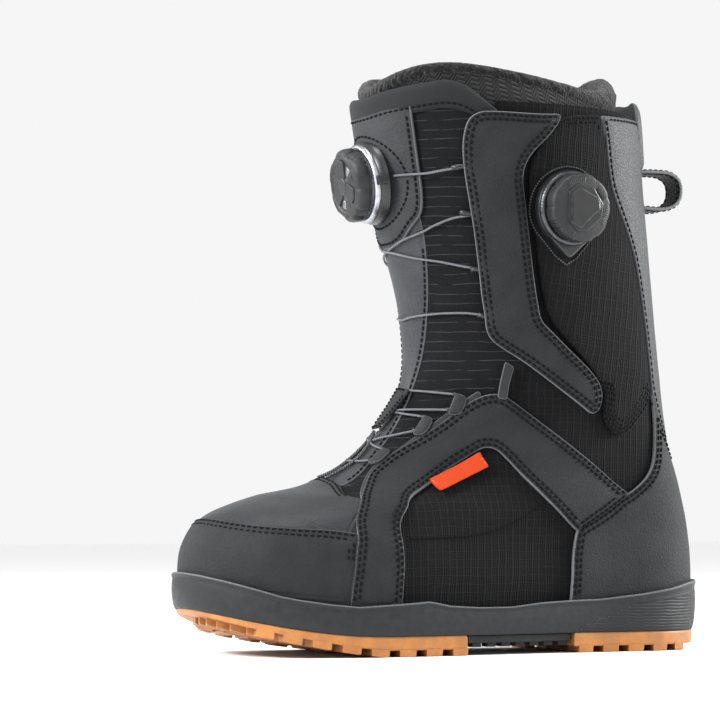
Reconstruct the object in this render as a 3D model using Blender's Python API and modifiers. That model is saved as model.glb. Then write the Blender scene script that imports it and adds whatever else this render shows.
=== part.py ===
"""Snowboard boot (left): sole unit, layered shell, closing wings, hinged tongue,
two cable dials and a removable-style inner boot.  Metres, +X to the toe, +Y outer side."""
import bpy
import bmesh
import math
import numpy as np
from mathutils import Matrix, Vector
from mathutils.geometry import delaunay_2d_cdt

MM = 0.001
COLLECTION = "snowboard_boot"
ORIGIN = np.array((0.344, 5.177, 0.0))   # moves the last so the box centre is at zero (mm)

# Girth stations of the last: front point (x, z), rear point (x, z), half widths (mm) at
# 30 degree steps from front to rear, and how much the centre line swings (0 to 1).
STATIONS = [
    ((147.5, 26), (-147.5, 22), (84, 78, 60, 44, 43, 65, 74), 1.0),
    ((149.0, 44), (-148.5, 38), (86, 80, 61.5, 46, 44.5, 66, 75), 1.0),
    ((146.5, 60), (-148.3, 52), (81, 76, 60, 46, 44, 65, 73), 1.0),
    ((136.0, 74), (-147.3, 63), (72, 66, 55.5, 45.5, 44, 63, 71), 1.0),
    ((110.0, 84), (-145.6, 73), (57, 54, 52, 45, 44, 61, 69), 0.9),
    ((80.0, 91), (-143.2, 83), (46, 47, 47, 43, 43, 58, 66), 0.7),
    ((54.0, 105), (-140.3, 94), (43, 43, 42, 41, 42, 55, 62), 0.45),
    ((34.0, 127), (-136.5, 108), (42, 42, 42.5, 43, 43, 51, 57), 0.2),
    ((23.5, 155), (-131.5, 130), (43, 44, 45, 46, 46, 50, 55), 0.0),
    ((25.5, 190), (-127.0, 168), (45, 46, 47.5, 49, 49, 51, 54), 0.0),
    ((34.5, 225), (-123.0, 210), (48, 49, 50.5, 52, 51, 52, 53), 0.0),
    ((45.0, 262), (-119.0, 255), (51, 52, 54, 55, 54, 53, 53), 0.0),
    ((52.0, 298), (-115.5, 298), (53, 54, 56, 57, 56, 55, 54), 0.0),
    ((56.0, 334), (-112.5, 341), (54, 55, 57, 58, 57, 56, 55), 0.0),
]
SWING = (-7, -6, -1, 3.5, 2, 0, 0)
TOP_ROW = 12.0

# Layer offsets from the last (mm): inner face, outer face.
LINER = (-10.2, -5.2)
BASE = (-3.0, -1.4)
OVER = (0.0, 1.8)
GORE = (0.9, 2.4)
BAND = (3.8, 5.7)
TAB = (2.8, 3.9)
TAB_ANGLE = 31.0

STEP = 15.0             # facet size of the panels
LACE_R = 0.6
GUIDE_IN = 1.2
GUIDE_OUT = 1.7
LACE_HIGH = 2.1         # cord centre over the tongue
LACE_LOW = 1.5          # cord centre under the wing band
CORD_GAP = 9.0
HOOK_R = 4.0
DIAL_SEAT = 4.4         # flat top of the dial seat above the last
DIAL_LEVEL = 5.0        # degrees the front dial is turned up from the surface
SOLE_EDGE = 4.6         # midsole wall outside the last

FRONT = np.array([s[0] for s in STATIONS], float)
REAR = np.array([s[1] for s in STATIONS], float)
WIDTH = np.array([s[2] for s in STATIONS], float)
SWAY = np.array([s[3] for s in STATIONS], float)


def cubic(rows, v):
    ext = np.concatenate([[2 * rows[0] - rows[1]], rows, [2 * rows[-1] - rows[-2]]])
    i = np.clip(np.floor(v).astype(int), 0, len(rows) - 2)
    t = (v - i).reshape(v.shape + (1,) * (rows.ndim - 1))
    a, b, c, d = ext[i], ext[i + 1], ext[i + 2], ext[i + 3]
    return 0.5 * (2 * b + (c - a) * t + (2 * a - 5 * b + 4 * c - d) * t * t
                  + (3 * b - a - 3 * c + d) * t ** 3)


def around(values, a):
    ext = np.concatenate([values[..., 1:2], values, values[..., -2:-1]], axis=-1)
    i = np.clip(np.floor(a).astype(int), 0, 5)
    t = a - i
    k = [np.take_along_axis(ext, (i + j)[..., None], -1)[..., 0] for j in range(4)]
    return 0.5 * (2 * k[1] + (k[2] - k[0]) * t
                  + (2 * k[0] - 5 * k[1] + 4 * k[2] - k[3]) * t * t
                  + (3 * k[1] - k[0] - 3 * k[2] + k[3]) * t ** 3)


def last(u, v):
    """Point of the last (mm): u 0 front to 1 rear on the outer side, v row number."""
    u, v = np.broadcast_arrays(np.asarray(u, float), np.asarray(v, float))
    u = (u + 1) % 2 - 1
    a = np.abs(u)
    s = (1 + np.cos(math.pi * a)) / 2
    front, rear = cubic(FRONT, v), cubic(REAR, v)
    p = rear + (front - rear) * s[..., None]
    half = around(cubic(WIDTH, v), a * 6) * np.sin(math.pi * a)
    sway = around(np.broadcast_to(np.array(SWING, float), v.shape + (7,)), a * 6)
    y = np.sign(u) * half + sway * cubic(SWAY, v)
    return np.stack([p[..., 0], y, p[..., 1]], -1)


def normal(u, v):
    u, v = np.broadcast_arrays(np.asarray(u, float), np.asarray(v, float))
    du = last(u + 1e-3, v) - last(u - 1e-3, v)
    dv = last(u, v + 1e-2) - last(u, v - 1e-2)
    n = np.cross(du, dv)
    return n / np.linalg.norm(n, axis=-1, keepdims=True)


def skin(u, v, off):
    return last(u, v) + normal(u, v) * np.asarray(off, float)[..., None]


GRID_U = np.linspace(0.02, 0.98, 49)
GRID_V = np.linspace(0.0, 13.0, 79)
GRID_P = last(*np.meshgrid(GRID_U, GRID_V, indexing="ij"))


def seek(target, axes, u, v):
    """Newton search for the row and girth position whose axes match the target."""
    e = 1e-4
    for _ in range(25):
        p = last(u, v) @ axes
        miss = target - p
        ju = (last(u + e, v) @ axes - p) / e
        jv = (last(u, v + e) @ axes - p) / e
        det = ju[0] * jv[1] - ju[1] * jv[0]
        du = (miss[0] * jv[1] - miss[1] * jv[0]) / det
        dv = (ju[0] * miss[1] - ju[1] * miss[0]) / det
        u = u + np.clip(du, -0.03, 0.03)
        v = np.clip(v + np.clip(dv, -0.4, 0.4), -0.5, 13.0)
        if abs(du) + abs(dv) < 1e-6:
            break
    return float(u), float(v)


def side(x, z):
    """Side-view position (x, z in mm) to (u, v) on the outer half."""
    gap = (GRID_P[..., 0] - x) ** 2 + (GRID_P[..., 2] - z) ** 2
    i, j = np.unravel_index(np.argmin(gap), gap.shape)
    axes = np.array([[1.0, 0], [0, 0], [0, 1.0]])
    return seek(np.array([x, z], float), axes, GRID_U[i], GRID_V[j])


# ---------------------------------------------------------------- scene helpers

def clear_scene():
    for ob in list(bpy.data.objects):
        bpy.data.objects.remove(ob, do_unlink=True)


def collection():
    col = bpy.data.collections.get(COLLECTION)
    if col is None:
        col = bpy.data.collections.new(COLLECTION)
        bpy.context.scene.collection.children.link(col)
    return col


def material(name, rgb, rough, metal=0.0):
    mat = bpy.data.materials.new("mat_" + name)
    mat.use_nodes = True
    shader = mat.node_tree.nodes["Principled BSDF"]
    shader.inputs["Base Color"].default_value = (*rgb, 1)
    shader.inputs["Roughness"].default_value = rough
    shader.inputs["Metallic"].default_value = metal
    mat.diffuse_color = (*rgb, 1)
    return mat


LEATHER = (0.045, 0.047, 0.050)
RIPSTOP = (0.018, 0.019, 0.021)
RUBBER = (0.030, 0.031, 0.033)
GUM = (0.62, 0.36, 0.13)
FLEECE = (0.025, 0.026, 0.028)
PLASTIC = (0.035, 0.036, 0.040)
STEEL = (0.35, 0.36, 0.38)
CORD = (0.10, 0.105, 0.115)
ORANGE = (0.80, 0.12, 0.02)


def make(name, verts, faces, look):
    rgb, rough, metal = look
    mesh = bpy.data.meshes.new(name)
    mesh.from_pydata([tuple(float(c) * MM for c in p - ORIGIN) for p in verts], [], faces)
    bm = bmesh.new()
    bm.from_mesh(mesh)
    bmesh.ops.remove_doubles(bm, verts=bm.verts, dist=1e-6)
    bmesh.ops.recalc_face_normals(bm, faces=bm.faces)
    bm.to_mesh(mesh)
    bm.free()
    ob = bpy.data.objects.new(name, mesh)
    ob.data.materials.append(material(name, rgb, rough, metal))
    collection().objects.link(ob)
    return ob


SOFT = 0.75
LOOK_LEATHER = (LEATHER, 0.6, 0.0)
LOOK_RIP = (RIPSTOP, SOFT, 0.0)
LOOK_RUBBER = (RUBBER, 0.7, 0.0)
LOOK_GUM = (GUM, 0.6, 0.0)
LOOK_FLEECE = (FLEECE, 0.95, 0.0)
LOOK_PLASTIC = (PLASTIC, 0.4, 0.0)
LOOK_STEEL = (STEEL, 0.3, 1.0)
LOOK_CORD = (CORD, 0.5, 0.0)
LOOK_ORANGE = (ORANGE, 0.6, 0.0)


# ---------------------------------------------------------------- panel builders

def resample(points, closed, gap, scale):
    """Outline with points no further apart than gap (mm in the scaled plane)."""
    out = []
    count = len(points) if closed else len(points) - 1
    for i in range(count):
        a, b = np.array(points[i], float), np.array(points[(i + 1) % len(points)], float)
        n = max(1, math.ceil(np.linalg.norm((b - a) * scale) / gap))
        out += [a + (b - a) * k / n for k in range(n)]
    if not closed:
        out.append(np.array(points[-1], float))
    return out


def inside(poly, pts):
    poly = np.asarray(poly)
    x, y = pts[:, 0], pts[:, 1]
    hit = np.zeros(len(pts), bool)
    for a, b in zip(poly, np.roll(poly, -1, axis=0)):
        cross = (a[1] > y) != (b[1] > y)
        with np.errstate(divide="ignore", invalid="ignore"):
            hit ^= cross & (x < (b[0] - a[0]) * (y - a[1]) / (b[1] - a[1]) + a[0])
    return hit


def edge_gap(poly, pts):
    best = np.full(len(pts), 1e9)
    for a, b in zip(poly, np.roll(poly, -1, axis=0)):
        d = b - a
        t = np.clip(((pts - a) @ d) / (d @ d), 0, 1)
        best = np.minimum(best, np.linalg.norm(pts - a - t[:, None] * d, axis=1))
    return best


def triangulate(loops, spacing):
    """Triangles inside the first loop and outside the others, on a regular lattice."""
    loops = [np.asarray(l, float) for l in loops]
    low, high = loops[0].min(axis=0), loops[0].max(axis=0)
    gx = np.arange(math.floor(low[0] / spacing[0]), math.ceil(high[0] / spacing[0]) + 1)
    gy = np.arange(math.floor(low[1] / spacing[1]), math.ceil(high[1] / spacing[1]) + 1)
    lattice = np.array([(i * spacing[0], j * spacing[1]) for i in gx for j in gy])
    size = np.array([1 / spacing[0], 1 / spacing[1]])
    keep = inside(loops[0], lattice)
    for loop in loops:
        keep &= edge_gap(loop * size, lattice * size) > 0.45
    for loop in loops[1:]:
        keep &= ~inside(loop, lattice)
    lattice = lattice[keep]
    pts = np.concatenate(loops + [lattice])
    edges, start = [], 0
    for loop in loops:
        edges += [(start + k, start + (k + 1) % len(loop)) for k in range(len(loop))]
        start += len(loop)
    flat = [Vector(p * size) for p in pts]
    got = delaunay_2d_cdt(flat, edges, [], 0, 1e-7)
    pts = np.array([p / size for p in np.array([tuple(v) for v in got[0]])])
    tris = np.array([f for f in got[2]])
    mid = pts[tris].mean(axis=1)
    keep = inside(loops[0], mid)
    for loop in loops[1:]:
        keep &= ~inside(loop, mid)
    a, b = (pts[tris[:, 1]] - pts[tris[:, 0]]) * size, (pts[tris[:, 2]] - pts[tris[:, 0]]) * size
    keep &= np.abs(a[:, 0] * b[:, 1] - a[:, 1] * b[:, 0]) > 1e-4
    return pts, tris[keep]


def slab(name, pts, tris, lower, upper, look):
    """Closed body between two point sets that share one triangulation."""
    n = len(pts)
    faces = [tuple(int(c) for c in t) for t in tris]
    count = {}
    for t in faces:
        for a, b in zip(t, t[1:] + t[:1]):
            count[(a, b)] = 1
    rim = [e for e in count if (e[1], e[0]) not in count]
    body = [tuple(reversed(t)) for t in faces] + [tuple(c + n for c in t) for t in faces]
    body += [(a, b, b + n, a + n) for a, b in rim]
    return make(name, np.concatenate([lower, upper]), body, look)


LATTICE = (1 / 22, 0.55)


def panel(name, outline, layer, look, holes=(), gap=STEP):
    """Panel of the shell whose outline is given in (u, v)."""
    scale = np.array([330.0, 26.0])
    loops = [resample(l, True, gap, scale) for l in [outline, *holes]]
    pts, tris = triangulate(loops, LATTICE)
    u, v = pts[:, 0], pts[:, 1]
    return slab(name, pts, tris, skin(u, v, np.full(len(u), layer[0])),
                skin(u, v, np.full(len(u), layer[1])), look)


def flip(outline):
    return [(-u, v) for u, v in outline]


def pair(name, outline, layer, look):
    """Outer-side panel and its mirror image on the inner side."""
    return [panel(name + "_lateral", outline, layer, look),
            panel(name + "_medial", flip(outline), layer, look)]


def side_outline(points):
    return [side(x, z) for x, z in points]


def ring_wall(name, us, low, high, layer, look, rows=8):
    """Closed girdle all round the last from row low(u) to row high(u)."""
    verts, faces = [], []
    n = len(us)
    for off in layer:
        for r in range(rows + 1):
            v = low + (high - low) * r / rows
            verts += list(skin(us, v, np.full(n, off)))

    def at(o, r, k):
        return (o * (rows + 1) + r) * n + k % n

    for k in range(n):
        for r in range(rows):
            faces.append((at(1, r, k), at(1, r, k + 1), at(1, r + 1, k + 1), at(1, r + 1, k)))
            faces.append((at(0, r, k), at(0, r + 1, k), at(0, r + 1, k + 1), at(0, r, k + 1)))
        faces.append((at(0, 0, k), at(0, 0, k + 1), at(1, 0, k + 1), at(1, 0, k)))
        faces.append((at(0, rows, k), at(1, rows, k), at(1, rows, k + 1), at(0, rows, k + 1)))
    return make(name, verts, faces, look)


# ---------------------------------------------------------------- sole unit

def edge_line(inset):
    """Outer and inner edge y of the sole plan as functions of x."""
    u = np.linspace(0.0, 1.0, 120)
    half = []
    for sign in (1, -1):
        p = skin(sign * u, np.full(len(u), 0.3), np.full(len(u), inset))
        order = np.argsort(p[:, 0])
        half.append((p[order, 0], p[order, 1]))
    tip = max(half[0][0].max(), half[1][0].max())
    tail = min(half[0][0].min(), half[1][0].min())
    return half, tail, tip


TOE_LIFT = ((60, 0), (81, 2.6), (111, 8.0), (130, 12.6), (142, 16.5), (160, 24.0))
SOLE_GAP = 0.9


def ground(x):
    """Height of the tread face: flat under the foot, rising to the toe."""
    return np.interp(x, [p[0] for p in TOE_LIFT], [p[1] for p in TOE_LIFT])


def tread_top(x):
    return 10.5 + np.maximum(0.0, x - 55.0) ** 2 / 640.0


def low_row(u):
    """Row of the feather line, lifted at the toe."""
    return np.interp(np.abs(u), [0, 0.12, 0.22, 0.3, 1], [0.42, 0.3, 0.12, 0.03, 0.03])


def sole_slab(name, x0, x1, inset, low, high, look, across=6):
    half, tail, tip = edge_line(inset)
    x0, x1 = max(x0, tail + 0.6), min(x1, tip - 0.6)
    n = max(4, math.ceil((x1 - x0) / 12))
    t = np.linspace(0, 1, n + 1)
    xs = x0 + (x1 - x0) * t
    extra = [tip - d for d in (1.6, 4, 9) if x1 > tip - 1]
    extra += [tail + d for d in (1.6, 4, 9) if x0 < tail + 1]
    xs = np.unique(np.round(np.concatenate([xs, extra]), 2))
    verts, faces = [], []
    for fn in (low, high):
        for x in xs:
            ys = np.linspace(np.interp(x, *half[1]), np.interp(x, *half[0]), across + 1)
            verts += [(x, y, float(fn(x))) for y in ys]
    m, w = len(xs), across + 1

    def at(o, i, k):
        return (o * m + i) * w + k

    for i in range(m - 1):
        for k in range(across):
            faces.append((at(0, i, k), at(0, i + 1, k), at(0, i + 1, k + 1), at(0, i, k + 1)))
            faces.append((at(1, i, k), at(1, i, k + 1), at(1, i + 1, k + 1), at(1, i + 1, k)))
        for k in (0, across):
            faces.append((at(0, i, k), at(0, i + 1, k), at(1, i + 1, k), at(1, i, k)))
    for k in range(across):
        for i in (0, m - 1):
            faces.append((at(0, i, k), at(0, i, k + 1), at(1, i, k + 1), at(1, i, k)))
    return make(name, verts, faces, look)


def box(name, centre, size, yaw=0.0):
    """Cutting block kept in the cutter collection."""
    mesh = bpy.data.meshes.new(name)
    bm = bmesh.new()
    bmesh.ops.create_cube(bm, size=1.0)
    bmesh.ops.scale(bm, verts=bm.verts, vec=[s * MM for s in size])
    bmesh.ops.rotate(bm, verts=bm.verts, cent=(0, 0, 0), matrix=Matrix.Rotation(yaw, 3, "Z"))
    bmesh.ops.translate(bm, verts=bm.verts, vec=[(c - o) * MM for c, o in zip(centre, ORIGIN)])
    bm.to_mesh(mesh)
    bm.free()
    ob = bpy.data.objects.new(name, mesh)
    bpy.context.scene.collection.objects.link(ob)
    return ob


def cut(body, cutters):
    """Take the cutters away from the body and drop them."""
    bpy.context.view_layer.objects.active = body
    for cutter in cutters:
        mod = body.modifiers.new("cut", "BOOLEAN")
        mod.operation = "DIFFERENCE"
        mod.solver = "EXACT"
        mod.object = cutter
    deps = bpy.context.evaluated_depsgraph_get()
    mesh = bpy.data.meshes.new_from_object(body.evaluated_get(deps))
    body.modifiers.clear()
    body.data = mesh
    for cutter in cutters:
        bpy.data.objects.remove(cutter, do_unlink=True)
    return body


def build_sole():
    forefoot = sole_slab("outsole_forefoot", 11, 200, 3.6, ground, tread_top, LOOK_GUM)
    grooves = [box("g", (x, 0, ground(x) + 0.5), (5, 200, 7), yaw) for x, yaw in
               ((24, 0.0), (41, 0.0), (58, 0.0), (76, 0.05), (95, 0.1))]
    cut(forefoot, grooves)
    heel = sole_slab("outsole_heel", -200, -58, 3.6, lambda x: 0.0, tread_top, LOOK_GUM)
    cut(heel, [box("g", (x, 0, 0.5), (5, 200, 7)) for x in (-76, -95, -114, -133)])
    sole_slab("outsole_arch", -56.5, 9.5, 1.0, lambda x: 6.0, lambda x: 10.3, LOOK_RUBBER, 4)
    us = np.linspace(-1, 1, 57)[:-1]
    rim_u = [0, 0.12, 0.22, 0.3, 0.36, 0.42, 0.5, 0.6, 0.7, 0.82, 1.0]
    rim_v = [0.95, 0.9, 0.62, 0.4, 0.25, 0.3, 0.45, 0.32, 0.45, 0.7, 0.85]
    rim = np.interp(np.abs(us), rim_u, rim_v)
    one = np.ones(len(us))
    outer = skin(us, rim, SOLE_EDGE * one)
    row = low_row(us)
    outer_mid = skin(us, row, (SOLE_EDGE + 0.8) * one)
    bottom = skin(us, row, 3.0 * one)
    bottom[:, 2] = tread_top(bottom[:, 0]) + SOLE_GAP
    inner = skin(us, rim, 2.8 * one)
    floor = skin(us, row, 2.8 * one)
    floor[:, 2] -= 3.6
    outer_mid[:, 2] = np.maximum(floor[:, 2], bottom[:, 2] + 3)
    cup("midsole", [bottom, outer_mid, outer, inner, floor], LOOK_RUBBER)
    board_out = skin(us, row, -0.2 * one)
    board_out[:, 2] -= 2.8
    board_top = board_out.copy()
    board_top[:, 2] += 1.7
    cup("lasting_board", [board_out, board_top], LOOK_RUBBER)


def bridge_cap(ring, verts, faces, across=4):
    """Close a ring that runs rear, inner side, front, outer side with lanes across."""
    n = len(ring)
    half = n // 2
    rows = []
    for k in range(1, half):
        a, b = ring[k], ring[n - k]
        lane = [a]
        for j in range(1, across):
            t = j / across
            lane.append(len(verts))
            verts.append(verts[a] * (1 - t) + verts[b] * t)
        lane.append(b)
        rows.append(lane)
    for first, second in zip(rows, rows[1:]):
        for j in range(across):
            faces.append((first[j], first[j + 1], second[j + 1], second[j]))
    for j in range(across):
        faces.append((ring[0], rows[0][j], rows[0][j + 1]))
        faces.append((ring[half], rows[-1][j + 1], rows[-1][j]))


def cup(name, rings, look, across=4):
    """Closed body through a chain of rings, both ends capped."""
    n = len(rings[0])
    verts = [np.array(p) for ring in rings for p in ring]
    faces = []
    for r in range(len(rings) - 1):
        for k in range(n):
            a, b = r * n + k, r * n + (k + 1) % n
            faces.append((a, b, b + n, a + n))
    bridge_cap(list(range(n)), verts, faces, across)
    last_ring = (len(rings) - 1) * n
    bridge_cap(list(range(last_ring, last_ring + n)), verts, faces, across)
    return make(name, verts, faces, look)


# ---------------------------------------------------------------- shell panels

def build_shell():
    us = np.linspace(-1, 1, 45)[:-1]
    top_u = [0, 0.16, 0.22, 0.3, 0.36, 0.42, 1.0]
    top_v = [4.3, 4.3, 4.5, 5.6, 6.3, 6.6, 6.6]
    high = np.interp(np.abs(us), top_u, top_v)
    ring_wall("upper_base", us, low_row(us), high, BASE, LOOK_RIP, 8)
    cuff = [(0.47, 6.85), (1.0, 6.75), (1.53, 6.85), (1.53, 9.4), (1.55, 12.0), (1.0, 12.0),
            (0.45, 12.0), (0.47, 9.4)]
    panel("cuff_base", cuff, BASE, LOOK_RIP)
    toe_lat = side_outline([(81.5, 33), (79.5, 46), (77, 57), (74.8, 64.3)])
    seam = [(0.28, 2.51), (0.237, 2.51), (0.16, 2.57), (0.08, 2.7), (0.0, 2.82)]
    rand = [(0.0, 0.5), (0.1, 0.4), (0.2, 0.24)] + toe_lat + seam[:-1]
    rand = rand + [seam[-1]] + [(-u, v) for u, v in reversed(rand[1:])]
    panel("toe_rand", rand, OVER, LOOK_LEATHER)
    vamp = [(0.0, 2.91), (0.1, 2.8), (0.17, 2.68), (0.237, 2.62), (0.282, 2.63)]
    vamp += side_outline([(74.4, 67.4), (67, 82.5)])
    vamp += [(0.23, 4.3), (0.18, 4.72), (0.133, 5.06), (0.09, 5.24), (0.0, 5.37)]
    panel("vamp", vamp + [(-u, v) for u, v in reversed(vamp[1:-1])], OVER, LOOK_LEATHER)
    saddle = side_outline([
        (79.5, 28.5), (78, 36), (75.5, 51), (71.5, 67), (65, 81), (56, 93), (43, 105), (19, 121),
        (4, 134), (-5, 140), (-14, 142), (-21, 139), (-37, 127), (-55, 115), (-76, 102),
        (-92.5, 89), (-88, 85.8), (-74, 76.6), (-62.5, 72), (-58, 71), (-48, 78), (-36, 89),
        (-23, 102), (-15, 110), (-8, 112.5), (1, 108), (13, 101), (25, 93), (36, 87), (41, 83),
        (44, 77), (47, 57), (49, 36), (50, 28)])
    pair("saddle", saddle, OVER, LOOK_LEATHER)
    loop = side_outline([(-17, 139), (-12, 141.5), (-14.5, 157.5), (-20, 155.5)])
    pair("saddle_top_loop", loop, (2.8, 4.0), LOOK_CORD)
    counter = side_outline([(-57.5, 32), (-58, 45), (-60, 62), (-61.5, 67), (-65, 70), (-75, 75),
                            (-89, 84), (-103, 92), (-110, 98), (-114, 105), (-116, 117),
                            (-117, 126)])
    wrap = [(counter[0][0], 0.1)] + counter + [(0.88, 7.0), (0.94, 7.0), (1.0, 7.0)]
    low = [(0.9, 0.1), (0.8, 0.1), (0.72, 0.1)]
    ring = wrap + [(2 - u, v) for u, v in reversed(wrap[:-1])]
    ring += [(2 - u, v) for u, v in reversed(low)] + [(1.0, 0.1)] + low
    panel("heel_counter", ring, OVER, LOOK_LEATHER)
    spine = side_outline([(-117, 130), (-115, 143), (-113, 157), (-110, 173), (-106, 195),
                          (-101, 217), (-93, 234), (-85, 249), (-80.5, 261), (-77.5, 276),
                          (-75.5, 288), (-75, 296)])
    back = spine + [(0.88, 11.95), (1.0, 11.95)]
    back = [(0.93, 7.08), (0.9, 7.08)] + back + [(2 - u, v) for u, v in reversed(spine)]
    back = back + [(1.1, 7.08), (1.07, 7.08), (1.0, 7.08)]
    back.insert(len(back) - len(spine) - 3, (1.12, 11.95))
    panel("backstay", back, OVER, LOOK_LEATHER)
    strip = side_outline([(-101, 130), (-96, 158), (-92.5, 185), (-88.5, 210), (-84.5, 235),
                          (-83, 241.5), (-87, 239.5), (-91.5, 232), (-99.5, 216), (-104.5, 194),
                          (-108.5, 172), (-111.5, 156), (-113.5, 142), (-115.5, 131)])
    pair("gore_strip", strip, GORE, LOOK_RIP)


def draped(name, u, v, frame, points, low, top, look, flat=True):
    """Body on the shell below a flat (or following) top, outline in the frame's millimetres."""
    pts, tris = triangulate([np.array(points, float)], (9.0, 9.0))
    axes = np.array(frame.to_3x3())[:, :2]
    origin = np.array(frame.translation)
    lower, upper = [], []
    for x, y in pts:
        uv = seek(np.array([x, y]) + origin @ axes, axes, u, v)
        lower.append(skin(*np.array([uv]).T, np.array([low]))[0])
        if flat:
            upper.append(np.array(frame @ Vector((x, y, top))))
        else:
            upper.append(skin(*np.array([uv]).T, np.array([top]))[0])
    return slab(name, pts, tris, np.array(lower), np.array(upper), look)


def local_frame(u, v):
    """Frame on the last: Z outward, Y up the shell (mm)."""
    p, n = last(u, v), normal(u, v)
    up = np.array([0, 0, 1.0]) - n * n[2]
    up = up / np.linalg.norm(up)
    x = np.cross(up, n)
    rot = Matrix((x, up, n)).transposed().to_4x4()
    return Matrix.Translation(Vector(p)) @ rot


def build_tongue():
    low = [(0.0, 4.42), (0.15, 4.42), (0.2, 4.6), (0.27, 5.5), (0.3, 6.2), (0.33, 6.8),
           (0.37, 7.4), (0.4, 7.88), (0.3, 7.76), (0.15, 7.62), (0.0, 7.58)]
    panel("tongue_lower", low + [(-u, v) for u, v in reversed(low[1:-1])], BASE, LOOK_LEATHER)
    up = [(0.0, 7.78), (0.15, 7.82), (0.3, 7.96), (0.4, 8.1), (0.42, 9.0), (0.42, 10.0),
          (0.4, 11.9), (0.3, 12.15), (0.15, 12.2), (0.0, 12.2)]
    panel("tongue_upper", up + [(-u, v) for u, v in reversed(up[1:-1])], BASE, LOOK_RIP)
    strip = [(0.0, 7.92), (0.13, 7.96), (0.14, 8.4), (0.15, 9.2), (0.17, 10.0), (0.17, 11.9),
             (0.0, 11.95)]
    panel("tongue_spine", strip + [(-u, v) for u, v in reversed(strip[1:-1])],
          (-0.2, 0.8), LOOK_LEATHER)
    bend = [(0.0, 5.5), (0.09, 5.48), (0.1, 6.3), (0.12, 7.1), (0.125, 7.48), (0.0, 7.44)]
    panel("instep_spine", bend + [(-u, v) for u, v in reversed(bend[1:-1])],
          (-0.4, 0.1), LOOK_LEATHER)
    edge = [(0.0, 12.02), (0.15, 12.02), (0.3, 11.97), (0.395, 11.75), (0.4, 11.93),
            (0.3, 12.17), (0.15, 12.22), (0.0, 12.22)]
    panel("tongue_binding", edge + [(-u, v) for u, v in reversed(edge[1:-1])],
          (-0.2, 1.6), LOOK_LEATHER)
    keeper = [(0.0, 5.6), (0.06, 5.58), (0.06, 6.5), (0.06, 7.35), (0.0, 7.35)]
    panel("lace_keeper", keeper + [(-u, v) for u, v in reversed(keeper[1:-1])],
          (0.9, 1.3), LOOK_CORD)


BAND_OUTLINE = [
    (-41, 294.5), (-20, 293.5), (4, 293), (11, 288), (12.5, 278), (11.5, 265), (7, 242),
    (3.5, 225), (0, 207), (-3, 190), (-5.5, 175), (-15, 165), (-25, 159), (-41, 148),
    (-59, 136), (-68, 129), (-72, 131), (-73, 140), (-71, 149), (-64, 156), (-51, 166),
    (-40, 176), (-34.5, 182), (-31, 198), (-26, 228), (-21.5, 250), (-21.5, 263), (-27, 272.5),
    (-35, 280), (-42, 287)]
GORE_OUTLINE = [
    (-48, 294), (-48, 286), (-41, 278), (-32, 270), (-27, 262), (-27, 248), (-31, 228),
    (-36, 199), (-40, 184), (-52, 172), (-66, 161), (-75, 153), (-79, 142), (-77, 130),
    (-79, 121), (-86, 115), (-92, 117), (-97, 124)]


def seam_line():
    """Rear seam of the wing: a straight line from low to high in side view."""
    return [(-97 + 25 * t, 124 + 170 * t) for t in np.linspace(0.06, 1, 12)]


def build_wings():
    band = side_outline(BAND_OUTLINE)
    pair("wing_band", band, BAND, LOOK_LEATHER)
    gore = side_outline(GORE_OUTLINE + seam_line())
    pair("wing_gore", gore, GORE, LOOK_RIP)


# ---------------------------------------------------------------- turned parts

def turned(name, profile, frame, look, steps=24):
    """Solid of revolution about the frame's Z axis from a closed (r, z) outline."""
    curve = bpy.data.meshes.new(name)
    verts = [(r * MM, 0, z * MM) for r, z in profile]
    axis = [k for k, p in enumerate(profile) if p[0] < 1e-6]
    n = len(verts)
    edges = [(k, (k + 1) % n) for k in range(n)]
    if len(axis) == 2:
        edges = [e for e in edges if set(e) != set(axis)]
    curve.from_pydata(verts, edges, [])
    ob = bpy.data.objects.new(name, curve)
    bpy.context.scene.collection.objects.link(ob)
    screw = ob.modifiers.new("turn", "SCREW")
    screw.steps = steps
    screw.render_steps = steps
    screw.use_merge_vertices = True
    screw.merge_threshold = 1e-5
    deps = bpy.context.evaluated_depsgraph_get()
    mesh = bpy.data.meshes.new_from_object(ob.evaluated_get(deps))
    bpy.data.objects.remove(ob, do_unlink=True)
    scaled = frame.copy()
    scaled.translation = (scaled.translation - Vector(ORIGIN)) * MM
    mesh.transform(scaled)
    bm = bmesh.new()
    bm.from_mesh(mesh)
    bmesh.ops.recalc_face_normals(bm, faces=bm.faces)
    bm.to_mesh(mesh)
    bm.free()
    mesh.materials.clear()
    mesh.materials.append(material(name, *look))
    body = bpy.data.objects.new(name, mesh)
    collection().objects.link(body)
    return body


def ring_profile(inner, outer, z0, z1, ease=0.5):
    return [(inner, z0), (outer - ease, z0), (outer, z0 + ease), (outer, z1 - ease),
            (outer - ease, z1), (inner, z1)]


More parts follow.
